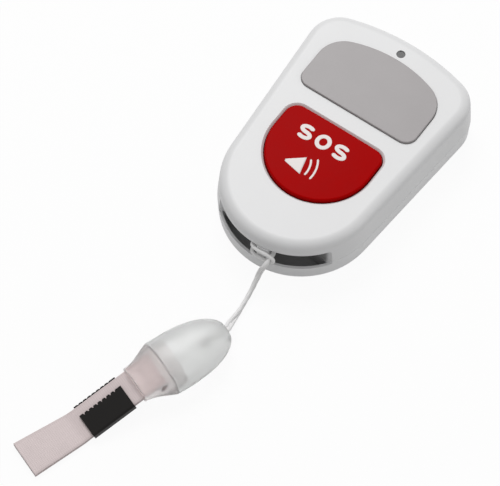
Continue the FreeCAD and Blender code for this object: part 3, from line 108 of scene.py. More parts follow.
class Shader:
    """The nodes of one material or world, which a single method adds."""

    def __init__(self, name: str, world: bool = False) -> None:
        """Start a material, or a world, that has only its output.

        Args:
            name: its name.
            world: whether it is a world.
        """
        self.owner = (bpy.data.worlds if world else bpy.data.materials).new(name)
        self.owner.use_nodes = True
        self.tree = self.owner.node_tree
        self.tree.nodes.clear()
        self.output = self.tree.nodes.new("ShaderNodeOutputWorld" if world else "ShaderNodeOutputMaterial")

    def node(self, kind: str, settings: Optional[Dict] = None, inputs: Optional[Dict] = None,
             output: Union[int, str] = 0) -> Value:
        """Add one node.

        Args:
            kind: the node's type.
            settings: properties that are set before its sockets.
            inputs: a value or a link for each socket, by name or number.
            output: the output that is wanted, by name or number.

        Returns:
            The wanted output.
        """
        made = self.tree.nodes.new(kind)
        for name, setting in (settings or {}).items():
            setattr(made, name, setting)
        for name, given in (inputs or {}).items():
            if isinstance(given, Value):
                self.tree.links.new(given.socket, made.inputs[name])
            else:
                made.inputs[name].default_value = given
        return Value(self, made.outputs[output])

    def math(self, operation: str, *terms: Union[Value, float]) -> Value:
        """A Math node on the given terms."""
        return self.node("ShaderNodeMath", {"operation": operation}, dict(enumerate(terms)))

    def place(self) -> Value:
        """The point on the object, in metres."""
        return self.node("ShaderNodeTexCoord", output="Object")

    def axes(self, vector: Value) -> Tuple[Value, Value, Value]:
        """The three numbers of a vector."""
        split = self.node("ShaderNodeSeparateXYZ", inputs={0: vector}).socket.node
        return tuple(Value(self, split.outputs[number]) for number in range(3))

    def noise(self, size: float, detail: float = 2.0, where: Optional[Value] = None) -> Value:
        """Cloudy noise from 0 to 1, with features of a size in millimetres."""
        return self.node("ShaderNodeTexNoise", {"noise_dimensions": "3D"},
                         {"Vector": where or self.place(), "Scale": 1 / (size * MM), "Detail": detail})

    def mix(self, share: Union[Value, float], first: Union[Value, Tuple],
            second: Union[Value, Tuple]) -> Value:
        """Colour that goes from the first to the second as the share goes from 0 to 1."""
        given = {0: share, 6: first, 7: second}
        return self.node("ShaderNodeMix", {"data_type": "RGBA"}, given, output=2)

    def bump(self, height: Value, depth: float, under: Optional[Value] = None) -> Value:
        """A normal from a height.

        Args:
            height: the height, from 0 to 1.
            depth: the depth in millimetres that a height of 1 stands for.
            under: a normal that it is added to.

        Returns:
            The normal.
        """
        inputs = {"Height": height, "Distance": depth * MM, "Strength": 1.0}
        if under is not None:
            inputs["Normal"] = under
        return self.node("ShaderNodeBump", inputs=inputs)

    def principled(self, **sockets: Union[Value, float, Tuple]) -> Value:
        """The usual surface, with its sockets given by name with _ for a space."""
        return self.node("ShaderNodeBsdfPrincipled", inputs={name.replace("_", " "): given
                                                              for name, given in sockets.items()})

    def seen(self) -> Value:
        """One for rays from the camera, or from what mirrors or lets light through; nought for others."""
        camera, gloss, through = (self.node("ShaderNodeLightPath", output=kind) for kind in
                                  ("Is Camera Ray", "Is Glossy Ray", "Is Transmission Ray"))
        return self.math("MAXIMUM", self.math("MAXIMUM", camera, gloss), through)

    def finish(self, surface: Value) -> Union[bpy.types.Material, bpy.types.World]:
        """Show a surface and hand over the material or world."""
        self.tree.links.new(surface.socket, self.output.inputs["Surface"])
        return self.owner


def shade(colour: Colour, by: float = 1.0) -> Tuple[float, float, float, float]:
    """A colour with alpha, made lighter or darker."""
    return (colour[0] * by, colour[1] * by, colour[2] * by, 1.0)


# Finishes, with sizes and depths in millimetres

@dataclass(frozen=True)
class Finish:
    """What every finish has: its material's name and its main colour."""

    name: str
    colour: Colour

    def material(self) -> bpy.types.Material:
        """A new material with this finish, which each kind of finish makes in its own way."""
        raise NotImplementedError(self.name)

    def tones(self, shader: Shader, share: Value, dark: float, light: float) -> Value:
        """The main colour, from dark to light times itself as the share goes from 0 to 1."""
        return shader.mix(share, shade(self.colour, dark), shade(self.colour, light))


@dataclass(frozen=True)
class MouldedPlastic(Finish):
    """Moulded plastic with a fine eroded grain and a faint unevenness in its tone."""

    roughness: float = 0.42
    grain_size: float = 0.22
    grain_depth: float = 0.006
    tone: float = 0.02
    cloud_size: float = 9.0
    grain_gloss: float = 0.1

    def material(self) -> bpy.types.Material:
        """Grain as bump and roughness, clouds as tone.

        Returns:
            The material.
        """
        shader = Shader(self.name)
        grain = shader.noise(self.grain_size)
        clouds = shader.noise(self.cloud_size, detail=3.0)
        colour = self.marked(shader, self.tones(shader, clouds, 1 - self.tone, 1 + self.tone))
        return shader.finish(shader.principled(
            Base_Color=colour, Roughness=self.roughness + (grain - 0.5) * self.grain_gloss,
            Normal=shader.bump(grain, self.grain_depth)))

    def marked(self, shader: Shader, colour: Value) -> Value:
        """The colour with what lies on it, which here is nothing."""
        return colour


@dataclass(frozen=True)
class Casing(MouldedPlastic):
    """Moulded casing with a thin dark seam between its halves and painted shade inside the lanyard room at
    its foot.
    """

    seam_height: float = 6.2
    seam_width: float = 0.1
    seam_shade: float = 0.45
    # The lanyard room behind the slots, where shade is painted into the casing's colour.
    foot_centre: float = -13.5
    room_radii: Tuple[float, float] = (14.0, 18.2)
    room_heights: Tuple[float, float] = (1.0, 11.2)
    room_edge: float = 0.5
    room_painted_shade: float = 0.38

    def marked(self, shader: Shader, colour: Value) -> Value:
        """Darken the seam, by height, and paint shade into the lanyard room, by height and distance from the
        foot's centre.

        Args:
            shader: the material's nodes.
            colour: the casing's colour without them.

        Returns:
            The colour with both.
        """
        x, y, z = (axis / MM for axis in shader.axes(shader.place()))
        seam = (z - self.seam_height).size().below(self.seam_width / 2, self.seam_width / 4)
        colour = shader.mix(seam * (1 - self.seam_shade), colour, shade(self.colour, self.seam_shade))
        # Painted shade: inside the lanyard room behind the slots the colour is darkened by place, standing
        # in for the shade there.
        distance = (x * x + (y - self.foot_centre) ** 2) ** 0.5
        radial, upright = (way.between(*limits, self.room_edge) for way, limits in
                           ((distance, self.room_radii), (z, self.room_heights)))
        return shader.mix(radial * upright, colour, shade(self.colour, self.room_painted_shade))


@dataclass(frozen=True)
class GlossPlastic(Finish):
    """Polished plastic with a slight waviness, fine marks, and wear in its tone and gloss."""

    roughness: float = 0.3
    specular: float = 0.5
    wave_size: float = 2.2
    wave_depth: float = 0.012
    fine_size: float = 0.3
    fine_depth: float = 0.004
    wear_size: float = 4.0
    wear_tones: Tuple[float, float] = (0.94, 1.06)
    wear_gloss: float = 0.12

    def material(self) -> bpy.types.Material:
        """Waves and fine marks as bump; wear as tone and roughness.

        Returns:
            The material.
        """
        shader = Shader(self.name)
        waves = shader.bump(shader.noise(self.wave_size, detail=1.0), self.wave_depth)
        normal = shader.bump(shader.noise(self.fine_size), self.fine_depth, under=waves)
        worn = shader.noise(self.wear_size, detail=3.0)
        return shader.finish(shader.principled(
            Base_Color=self.tones(shader, worn, *self.wear_tones), Specular_IOR_Level=self.specular,
            Roughness=self.roughness + (worn - 0.5) * self.wear_gloss, Normal=normal))


@dataclass(frozen=True)
class MilkyPlastic(Finish):
    """Cloudy see-through plastic."""

    clearness: float = 0.6
    roughness: float = 0.25
    refraction: float = 1.46
    flow_size: float = 3.5
    flow_depth: float = 0.02
    flow_tones: Tuple[float, float] = (0.96, 1.03)

    def material(self) -> bpy.types.Material:
        """Light goes partly through; flow marks show as faint clouds.

        Returns:
            The material.
        """
        shader = Shader(self.name)
        flow = shader.noise(self.flow_size)
        return shader.finish(shader.principled(
            Base_Color=self.tones(shader, flow, *self.flow_tones), Roughness=self.roughness,
            Transmission_Weight=self.clearness, IOR=self.refraction,
            Normal=shader.bump(flow, self.flow_depth)))


@dataclass(frozen=True)
class WovenRibbon(Finish):
    """Satin ribbon: fine warp threads along it and ribs across it, on the piece's own UV map.

    U runs once across the ribbon and V runs along it in ribbon widths.
    """

    width: float = 8.0
    rib_pitch: float = 0.5
    thread_pitch: float = 0.35
    rib_share: float = 0.6
    weave_depth: float = 0.05
    valley_painted_shade: float = 0.7
    valley_share: float = 0.35
    edge: float = 0.07
    edge_shade: float = 0.84
    edge_share: float = 0.5
    edge_soft: float = 0.02
    cloud_size: float = 3.0
    cloud_tones: Tuple[float, float] = (0.93, 1.06)
    roughness: float = 0.62
    weave_gloss: float = 0.12
    sheen: float = 0.25

    def material(self) -> bpy.types.Material:
        """Threads and ribs as bump, with painted shade in the weave's valleys; the colour is a little darker
        along the edges.

        Returns:
            The material.
        """
        shader = Shader(self.name)
        across, along, _ = shader.axes(shader.node("ShaderNodeUVMap"))
        ribs, threads = self.wave(along, self.rib_pitch), self.wave(across, self.thread_pitch)
        weave = ribs * self.rib_share + threads * (1 - self.rib_share)
        middle = ((across - 0.5).size() * 2).below(1 - 2 * self.edge, self.edge_soft)
        colour = self.tones(shader, shader.noise(self.cloud_size, detail=3.0), *self.cloud_tones)
        # Painted shade: the colour darkens where the weave is low, in its valleys. It is also darker along
        # the edges.
        for share, tone in (((1 - weave) * self.valley_share, self.valley_painted_shade),
                            ((1 - middle) * self.edge_share, self.edge_shade)):
            colour = shader.mix(share, colour, shade(self.colour, tone))
        return shader.finish(shader.principled(
            Base_Color=colour, Roughness=self.roughness - weave * self.weave_gloss,
            Sheen_Weight=self.sheen, Normal=shader.bump(weave, self.weave_depth)))

    def wave(self, place: Value, pitch: float) -> Value:
        """A sine from 0 to 1 that comes once in a pitch, over a place in ribbon widths."""
        return (place * (2 * math.pi * self.width / pitch)).sine() * 0.5 + 0.5


@dataclass(frozen=True)
class TwistedCord(Finish):
    """Thin pale cord of fine fibres."""

    roughness: float = 0.6
    sheen: float = 0.2
    fibre_size: float = 0.12
    fibre_depth: float = 0.03
    fibre_tones: Tuple[float, float] = (0.88, 1.06)

    def material(self) -> bpy.types.Material:
        """Fibres as bump and small changes of tone.

        Returns:
            The material.
        """
        shader = Shader(self.name)
        fibres = shader.noise(self.fibre_size, detail=3.0)
        return shader.finish(shader.principled(
            Base_Color=self.tones(shader, fibres, *self.fibre_tones), Roughness=self.roughness,
            Sheen_Weight=self.sheen, Normal=shader.bump(fibres, self.fibre_depth)))


@dataclass(frozen=True)
class Metal(Finish):
    """Plated, drawn or painted metal."""

    metallic: float = 1.0
    roughness: float = 0.3
    specular: float = 0.5
    line_size: float = 0.25
    line_stretch: float = 12.0
    line_depth: float = 0.005
    line_gloss: float = 0.2
    stain_size: float = 2.0
    stain_tones: Tuple[float, float] = (0.9, 1.08)

    def material(self) -> bpy.types.Material:
        """Fine draw lines along Y, in roughness and bump; stains as tone.

        Returns:
            The material.
        """
        shader = Shader(self.name)
        x, y, z = shader.axes(shader.place())
        drawn = shader.node("ShaderNodeCombineXYZ", inputs={0: x, 1: y / self.line_stretch, 2: z})
        lines = shader.noise(self.line_size, detail=3.0, where=drawn)
        stain = shader.noise(self.stain_size, detail=3.0)
        return shader.finish(shader.principled(
            Base_Color=self.tones(shader, stain, *self.stain_tones), Metallic=self.metallic,
            Specular_IOR_Level=self.specular, Roughness=self.roughness + (lines - 0.5) * self.line_gloss,
            Normal=shader.bump(lines, self.line_depth)))


# Paths and surfaces, in millimetres

class Ends(Enum):
    """How the two ends of a grid in its first direction are treated."""

    POLES = "poles"
    WRAPPED = "wrapped"


def full_turn(count: int) -> np.ndarray:
    """Angles evenly round a circle."""
    return np.linspace(0, 2 * math.pi, count, endpoint=False)


def squared(wave: np.ndarray, power: float) -> np.ndarray:
    """A sine or cosine with its size taken to a power: the lower that is, the squarer the section."""
    return np.sign(wave) * np.abs(wave) ** power


def run_along(path: np.ndarray) -> np.ndarray:
    """The length along a path up to each of its points."""
    return np.concatenate([[0], np.cumsum(np.linalg.norm(np.diff(path, axis=0), axis=1))])


def evenly(path: np.ndarray, step: float) -> Tuple[np.ndarray, np.ndarray]:
    """Put points evenly along a path.

    Args:
        path: points, one in a row.
        step: about how far apart the new ones are.

    Returns:
        The new points, and the length along the path at each.
    """
    run = run_along(path)
    even = np.linspace(0, run[-1], int(run[-1] / step))
    return np.stack([np.interp(even, run, axis) for axis in path.T], -1), even


def rounded(corners: np.ndarray, arc_points: int = 12) -> np.ndarray:
    """Straight runs between corners in a plane, with an arc in each corner that touches both runs.

    The arc's middle lies on the corner's bisector, radius / sin(half the corner's angle) away from it.

    Args:
        corners: rows of two coordinates and the corner's radius; the first and last are plain ends.
        arc_points: points in an arc.

    Returns:
        Points in the plane.
    """
    pieces = [corners[:1, :2]]
    for before, here, after in zip(corners, corners[1:], corners[2:]):
        corner, radius = here[:2], here[2]
        back, ahead = before[:2] - corner, after[:2] - corner
        back, ahead = back / np.linalg.norm(back), ahead / np.linalg.norm(ahead)
        half_angle = math.acos(float(np.clip(np.dot(back, ahead), -1, 1))) / 2
        cut = radius / math.tan(half_angle)
        middle = corner + (back + ahead) / np.linalg.norm(back + ahead) * radius / math.sin(half_angle)
        spokes = np.array([corner + back * cut - middle, corner + ahead * cut - middle])
        first, last = np.arctan2(spokes[:, 1], spokes[:, 0])
        sweep = (last - first + math.pi) % (2 * math.pi) - math.pi
        angles = first + sweep * np.linspace(0, 1, arc_points)
        pieces.append(middle + radius * np.stack([np.cos(angles), np.sin(angles)], -1))
    return np.vstack([*pieces, corners[-1:, :2]])


def carried_frame(path: np.ndarray) -> Tuple[np.ndarray, np.ndarray]:
    """Two side directions for each point of a path, carried along it without twist.

    Args:
        path: points in space, one in a row.

    Returns:
        The two directions at each point, both at right angles to the path.
    """
    along = np.gradient(path, axis=0)
    along /= np.linalg.norm(along, axis=1, keepdims=True)
    first = np.cross(along[0], [0.0, 0.0, 1.0])
    sides = [first / np.linalg.norm(first)]
    for way in along[1:]:
        kept = sides[-1] - way * np.dot(sides[-1], way)
        sides.append(kept / np.linalg.norm(kept))
    sides = np.array(sides)
    return sides, np.cross(along, sides)


def tube(path: np.ndarray, angle: np.ndarray, radius: Union[float, np.ndarray]) -> np.ndarray:
    """A grid round a path: path + radius (one side cos(angle) + other side sin(angle)).

    Args:
        path: points in space, one in a row.
        angle: angles round the section.
        radius: one for all, or one for each point of the grid.

    Returns:
        The grid's points, shape (rows, round, 3).
    """
    side, other = (way[:, None] for way in carried_frame(path))
    section = side * np.cos(angle)[:, None] + other * np.sin(angle)[:, None]
    return path[:, None] + np.asarray(radius)[..., None] * section


def surface(name: str, grid: np.ndarray, ends: Ends, uv: Optional[np.ndarray] = None) -> bpy.types.Object:
    """A closed mesh from a grid of points whose second direction goes round.

    Point [i, j] joins [i + 1, j] and [i, j + 1]. POLES adds one middle point at either end, and WRAPPED
    joins the last row to the first.

    Args:
        name: the piece's name.
        grid: points, shape (rows, round, 3).
        ends: how the first and last row are closed.
        uv: the map's points for each grid point, shape (rows, round + 1, 2).

    Returns:
        The new object, which stands at the origin.
    """
    rows, around = grid.shape[:2]
    index = np.arange(rows * around).reshape(rows, around)
    if ends is Ends.WRAPPED:
        index = np.vstack([index, index[:1]])
    left, right = index[:-1], index[1:]
    quads = np.stack([left, np.roll(left, -1, 1), np.roll(right, -1, 1), right], -1).reshape(-1, 4)
    faces = quads.tolist()
    points = grid.reshape(-1, 3)
    if ends is Ends.POLES:
        points = np.vstack([points, grid[0].mean(0), grid[-1].mean(0)])
        first, last = (np.full(around, rows * around + pole) for pole in (0, 1))
        faces += np.stack([first, np.roll(index[0], -1), index[0]], -1).tolist()
        faces += np.stack([last, index[-1], np.roll(index[-1], -1)], -1).tolist()
    if signed_volume(points, quads) < 0:
        faces = [face[::-1] for face in faces]
    mesh = bpy.data.meshes.new(name)
    mesh.from_pydata((points * MM).tolist(), [], faces)
    if uv is not None:
        lay_out(mesh, uv, rows, around)
    mesh.polygons.foreach_set("use_smooth", np.ones(len(mesh.polygons), bool))
    made = bpy.data.objects.new(name, mesh)
    bpy.context.scene.collection.objects.link(made)
    return made


def signed_volume(points: np.ndarray, quads: np.ndarray) -> float:
    """Six times the volume within quads, positive where they face outwards: the sum of triple products."""
    a, b, c, d = (points[quads[:, corner]] for corner in range(4))
    return float(np.sum(a * np.cross(b, c)) + np.sum(a * np.cross(c, d)))


def lay_out(mesh: bpy.types.Mesh, uv: np.ndarray, rows: int, around: int) -> None:
    """Give each face corner its place in the map.

    A face whose columns are more than one apart closes the round, so its column 0 counts as the last one.

    Args:
        mesh: a mesh that surface() makes, with poles.
        uv: the map's points, shape (rows, round + 1, 2).
        rows: the grid's rows.
        around: the grid's points in a row.
    """
    corners, starts, sizes = (np.zeros(len(items), np.int32) for items in
                              (mesh.loops, mesh.polygons, mesh.polygons))
    mesh.loops.foreach_get("vertex_index", corners)
    mesh.polygons.foreach_get("loop_start", starts)
    mesh.polygons.foreach_get("loop_total", sizes)
    row, column = np.minimum(corners // around, rows - 1), corners % around
    row[corners == rows * around] = 0
    spread = np.maximum.reduceat(column, starts) - np.minimum.reduceat(column, starts)
    column[np.repeat(spread > 1, sizes) & (column == 0)] = around
    layer = mesh.uv_layers.new(name="UVMap")
    layer.data.foreach_set("uv", uv[row, column].astype(np.float32).ravel())


def dress(piece: bpy.types.Object, finish: Finish, body: str) -> bpy.types.Object:
    """Give a new piece its finish.

    Args:
        piece: the piece.
        finish: its finish.
        body: the body that it moves with.

    Returns:
        The same piece.
    """
    piece.data.materials.clear()
    piece.data.materials.append(finish.material())
    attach(piece, body)
    log.info("%s: %d faces, on %s", piece.name, len(piece.data.polygons), body)
    return piece


def dress_nodes(finish: Finish, *names: str) -> None:
    """Give CAD nodes one finish.

    Args:
        finish: the finish.
        names: the nodes' names.
    """
    material = finish.material()
    for name in names:
        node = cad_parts[name]
        node.data.materials.clear()
        node.data.materials.append(material)
        log.info("%s keeps its solid's shape, in %s", name, finish.name)


# Camera, light and floor

@dataclass(frozen=True)
class Lamp:
    """A square soft lamp, aimed at the origin; its place and width are in metres."""

    name: str
    place: Point
    width: float
    watts: float

    def build(self) -> None:
        """Hang the lamp."""
        data = bpy.data.lights.new(self.name, "AREA")
        data.size, data.energy = self.width, self.watts
        made = bpy.data.objects.new(self.name, data)
        made.location = self.place
        made.rotation_mode = "QUATERNION"
        made.rotation_quaternion = (-Vector(self.place)).to_track_quat("-Z", "Y")
        bpy.context.scene.collection.objects.link(made)


@dataclass
class Studio:
    """Pale floor, soft light from above and behind on the left, and the photograph's camera.

    Angles are in degrees, the camera's distance and aim and the floor's gap in millimetres, and the
    camera's clip distances and the floor's half width in metres.
    """

    azimuth: float = 35.471
    elevation: float = 61.148
    distance: float = 560.32
    focal_pixels: float = 2397.48
    image_width: float = 500.0
    sensor: float = 36.0
    clip: Tuple[float, float] = (0.01, 20.0)
    aim: Point = (-3.995, -28.351, 0.0)
    floor_half: float = 2.5
    floor_gap: float = 0.03
    floor_white: float = 0.93
    floor_lit: Colour = (0.95, 0.95, 0.95)
    floor_dim: Colour = (0.55, 0.55, 0.55)
    world_level: float = 0.46
    lamps: Tuple[Lamp, ...] = (Lamp("key_lamp", (-0.32, 0.32, 0.66), 0.4, 3.05),
                               Lamp("right_lamp", (0.6, 0.2, 0.25), 0.4, 0.36))

    def camera(self) -> None:
        """Camera = aim + distance along the direction that azimuth and elevation give."""
        turn, rise = math.radians(self.azimuth), math.radians(self.elevation)
        back = Vector((math.sin(turn) * math.cos(rise), -math.cos(turn) * math.cos(rise), math.sin(rise)))
        data = bpy.data.cameras.new("camera")
        data.sensor_width = self.sensor
        data.lens = self.focal_pixels / self.image_width * self.sensor
        data.clip_start, data.clip_end = self.clip
        made = bpy.data.objects.new("camera", data)
        made.location = (Vector(self.aim) + back * self.distance) * MM
        made.rotation_mode = "QUATERNION"
        made.rotation_quaternion = (-back).to_track_quat("-Z", "Y")
        bpy.context.scene.collection.objects.link(made)
        bpy.context.scene.camera = made

    def floor(self) -> None:
        """A floor that is nearly white with a faint shadow where it is seen, and dimmer where it lights."""
        half, low = self.floor_half, -self.floor_gap * MM
        mesh = bpy.data.meshes.new("floor")
        corners = [(-half, -half, low), (half, -half, low), (half, half, low), (-half, half, low)]
        mesh.from_pydata(corners, [], [(0, 1, 2, 3)])
        made = bpy.data.objects.new("floor", mesh)
        bpy.context.scene.collection.objects.link(made)
        shader = Shader("floor_white")
        white = shader.node("ShaderNodeEmission", inputs={"Color": (1, 1, 1, 1), "Strength": 1.0})
        lit, dim = (shader.node("ShaderNodeBsdfDiffuse", inputs={"Color": shade(colour)})
                    for colour in (self.floor_lit, self.floor_dim))
        shown = shader.node("ShaderNodeMixShader", inputs={0: self.floor_white, 1: lit, 2: white})
        either = shader.node("ShaderNodeMixShader", inputs={0: shader.seen(), 1: dim, 2: shown})
        mesh.materials.append(shader.finish(either))

    def sky(self) -> None:
        """Even light from all round; the camera, gloss and clear plastic see white."""
        shader = Shader("white_room", world=True)
        level = self.world_level + shader.seen() * (1 - self.world_level)
        bpy.context.scene.world = shader.finish(
            shader.node("ShaderNodeBackground", inputs={"Color": (1, 1, 1, 1), "Strength": level}))

    def build(self) -> None:
        """Camera, floor, sky and lamps."""
        bpy.context.scene.view_settings.view_transform = "Standard"
        self.camera()
        self.floor()
        self.sky()
        for lamp in self.lamps:
            lamp.build()


# Lanyard, in millimetres

# The cord's route, with Y from the foot's end: down from the knot to the table, along it and up to the
# post, round that in a cow hitch, and back beside itself to the knot.
FOOT_END = -33.0
CORD_ROUTE = [
    (5.37, -22.57, 4.70), (6.75, -18.82, 4.70), (5.95, -16.70, 2.95), (5.25, -14.30, 1.30),
    (4.70, -11.60, 0.50), (4.30, -9.00, 0.50), (3.95, -5.80, 0.95), (3.75, -2.75, 2.95),
    (4.05, -1.25, 5.20), (4.91, -0.95, 8.00), (4.55, 3.65, 8.00), (-0.22, 2.89, 7.60),
    (-0.67, -0.63, 7.00), (5.79, 0.08, 7.00), (5.79, 0.08, 10.00), (-0.67, -0.63, 10.00),
    (-0.22, 2.89, 9.40), (4.55, 3.65, 9.00), (5.03, -1.95, 9.00), (3.70, -2.35, 5.70),
    (3.60, -3.25, 3.75), (3.95, -6.15, 1.85), (4.35, -9.25, 1.42), (4.65, -11.85, 1.44),
    (4.75, -14.60, 2.10), (5.05, -16.75, 3.35), (5.73, -18.44, 4.70), (4.33, -22.19, 4.70),
]


@dataclass
class LanyardCord:
    """Thin cord, doubled, tied round the post with a cow hitch; both ends go to the knot in the cap."""

    diameter: float = 0.9
    length: float = 89.0
    exit: Point = (4.1, -34.6, 6.9)
    strands: int = 3
    twist_pitch: float = 2.4
    relief: float = 0.1
    line_steps: int = 24
    step: float = 0.11
    around: int = 18
    finish: TwistedCord = TwistedCord("lanyard_cord", (0.93, 0.925, 0.92))

    def centreline(self) -> np.ndarray:
        """Follow the route's smooth line, a NURBS curve of order 3.

        Returns:
            Points along it, evenly apart.
        """
        curve = bpy.data.curves.new("cord_line", "CURVE")
        curve.dimensions = "3D"
        curve.resolution_u = self.line_steps
        spline = curve.splines.new("NURBS")
        spline.points.add(len(CORD_ROUTE) - 1)
        for point, (x, y, z) in zip(spline.points, CORD_ROUTE):
            point.co = (x * MM, (y + FOOT_END) * MM, z * MM, 1.0)
        spline.order_u = 3
        spline.use_endpoint_u = True
        carrier = bpy.data.objects.new("cord_line", curve)
        bpy.context.scene.collection.objects.link(carrier)
        bpy.context.view_layer.update()
        line = bpy.data.meshes.new_from_object(carrier)
        points = np.zeros(len(line.vertices) * 3)
        line.vertices.foreach_get("co", points)
        bpy.data.objects.remove(carrier)
        bpy.data.meshes.remove(line)
        path, _ = evenly(points.reshape(-1, 3) / MM, self.step)
        return path

    def build(self, path: np.ndarray) -> bpy.types.Object:
        """Make a tube whose radius swells with each twisted strand.

        radius = diameter / 2 (1 - relief / 2 + relief / 2 cos(strands (angle - turn)))

        Args:
            path: points along the cord's smooth line.

        Returns:
            The cord.
        """
        run = run_along(path)
        log.info("cord: %.1f mm on its smooth line", run[-1])
        angle = full_turn(self.around)
        turn = (2 * math.pi * run / self.twist_pitch / self.strands)[:, None]
        swell = 1 - self.relief / 2 + self.relief / 2 * np.cos(self.strands * (angle - turn))
        piece = surface("lanyard_cord", tube(path, angle, self.diameter / 2 * swell), Ends.POLES)
        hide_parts("cord")
        return dress(piece, self.finish, "housing")


@dataclass
class Strap:
    """What is on the cord's end, drawn along its own -Y axis: cap, knot and ribbon."""

    tip: Point = (6.1, -52.0, 0.0)
    heading: float = -20.3
    axis_height: float = 4.7

    def placed(self, points: np.ndarray) -> np.ndarray:
        """Turn points by the heading and move them to the tip.

        Args:
            points: rows of (across, run from the tip, height).

        Returns:
            The points in the object's frame.
        """
        turn = math.radians(self.heading)
        across, run, height = points[..., 0], points[..., 1], points[..., 2]
        x = across * math.cos(turn) + run * math.sin(turn)
        y = across * math.sin(turn) - run * math.cos(turn)
        return np.stack([x + self.tip[0], y + self.tip[1], height], -1)


@dataclass
class CordCap(Strap):
    """Egg-shaped cap that hides the knot, open at its wide end."""

    width: float = 14.3
    height: float = 9.4
    belly: float = 15.1
    length: float = 17.4
    fullness: float = 2.3
    nose: float = 0.45
    wall: float = 1.0
    rim_bulge: float = 0.15
    cavity_start: float = 1.6
    hole: Tuple[float, float] = (2.7, 1.6)
    hole_round: float = 0.15
    hole_lead: float = 0.2
    hole_mouth: float = 0.02
    rows: Tuple[int, int, int] = (70, 7, 50)
    tip_crowding: float = 1.5
    around: int = 96
    finish: MilkyPlastic = MilkyPlastic("milky_cap", (0.925, 0.93, 0.925), clearness=0.83, roughness=0.38)

    def share(self, run: Union[float, np.ndarray]) -> np.ndarray:
        """Share of full size at a run from the tip: (1 - |run from the belly / belly|^n)^(1/n)."""
        away = np.abs((run + self.nose - self.belly) / self.belly)
        return (1 - np.clip(away, 0, 1) ** self.fullness) ** (1 / self.fullness)

    def profile(self) -> np.ndarray:
        """Follow the wall from the tip over the egg, round the rim, back inside and out of the hole.

        Returns:
            Rows of (run from the tip, half width, half height).
        """
        full, hole = np.array([self.width, self.height]) / 2, np.array(self.hole) / 2
        over, round_rim, inside = self.rows
        outer = self.length * np.linspace(0, 1, over) ** self.tip_crowding
        lip = np.linspace(0, math.pi, round_rim + 2)[1:-1]
        inner = np.linspace(self.length, self.cavity_start, inside)
        rim = full * self.share(self.length) - self.wall / 2 * (1 - np.cos(lip))[:, None]
        way_out = [(self.cavity_start, *(hole + self.hole_round)),
                   (self.cavity_start - self.hole_round, *hole),
                   (self.hole_lead, *hole), (self.hole_mouth, *(hole + self.hole_lead))]
        return np.vstack([np.column_stack([outer, full * self.share(outer)[:, None]]),
                          np.column_stack([self.length + self.rim_bulge * np.sin(lip), rim]),
                          np.column_stack([inner, full * self.share(inner)[:, None] - self.wall]),
                          way_out])

    def build(self) -> bpy.types.Object:
        """Carry the profile round as ellipses: (half width cos(angle), run, half height sin(angle)).

        Returns:
            The cap, one closed shell.
        """
        angle = full_turn(self.around)
        run, wide, tall = (column[:, None] for column in self.profile().T)
        grid = np.stack([wide * np.cos(angle), run + 0 * angle, self.axis_height + tall * np.sin(angle)], -1)
        piece = surface("cord_cap_shell", self.placed(grid), Ends.WRAPPED)
        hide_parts("cord_cap")
        return dress(piece, self.finish, "housing")


@dataclass
class StopperKnot(Strap):
    """Barrel knot of about three turns round both ends of the cord, inside the cap."""

    start: float = 3.9
    turns: float = 3.2
    pitch: float = 0.82
    radius: float = 0.8
    cord_radius: float = 0.45
    end_part: float = 1 / 9
    end_radius: float = 0.2
    steps: int = 260
    around: int = 14
    finish: TwistedCord = TwistedCord("knot_cord", (0.85, 0.845, 0.84))

    def build(self) -> bpy.types.Object:
        """Carry a tube along a helix whose ends wind in towards its axis, over a part of its length.

        Returns:
            The knot.
        """
        share = np.linspace(0, 1, self.steps)
        angle = 2 * math.pi * self.turns * share
        from_end = np.minimum(share, 1 - share)
        wind = np.clip(self.radius * from_end / self.end_part, self.end_radius, self.radius)
        run = self.start + self.pitch * self.turns * share
        path = np.stack([wind * np.cos(angle), run, self.axis_height + wind * np.sin(angle)], -1)
        grid = tube(path, full_turn(self.around), self.cord_radius)
        piece = surface("stopper_knot", self.placed(grid), Ends.POLES)
        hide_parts("cord_knot")
        return dress(piece, self.finish, "housing")


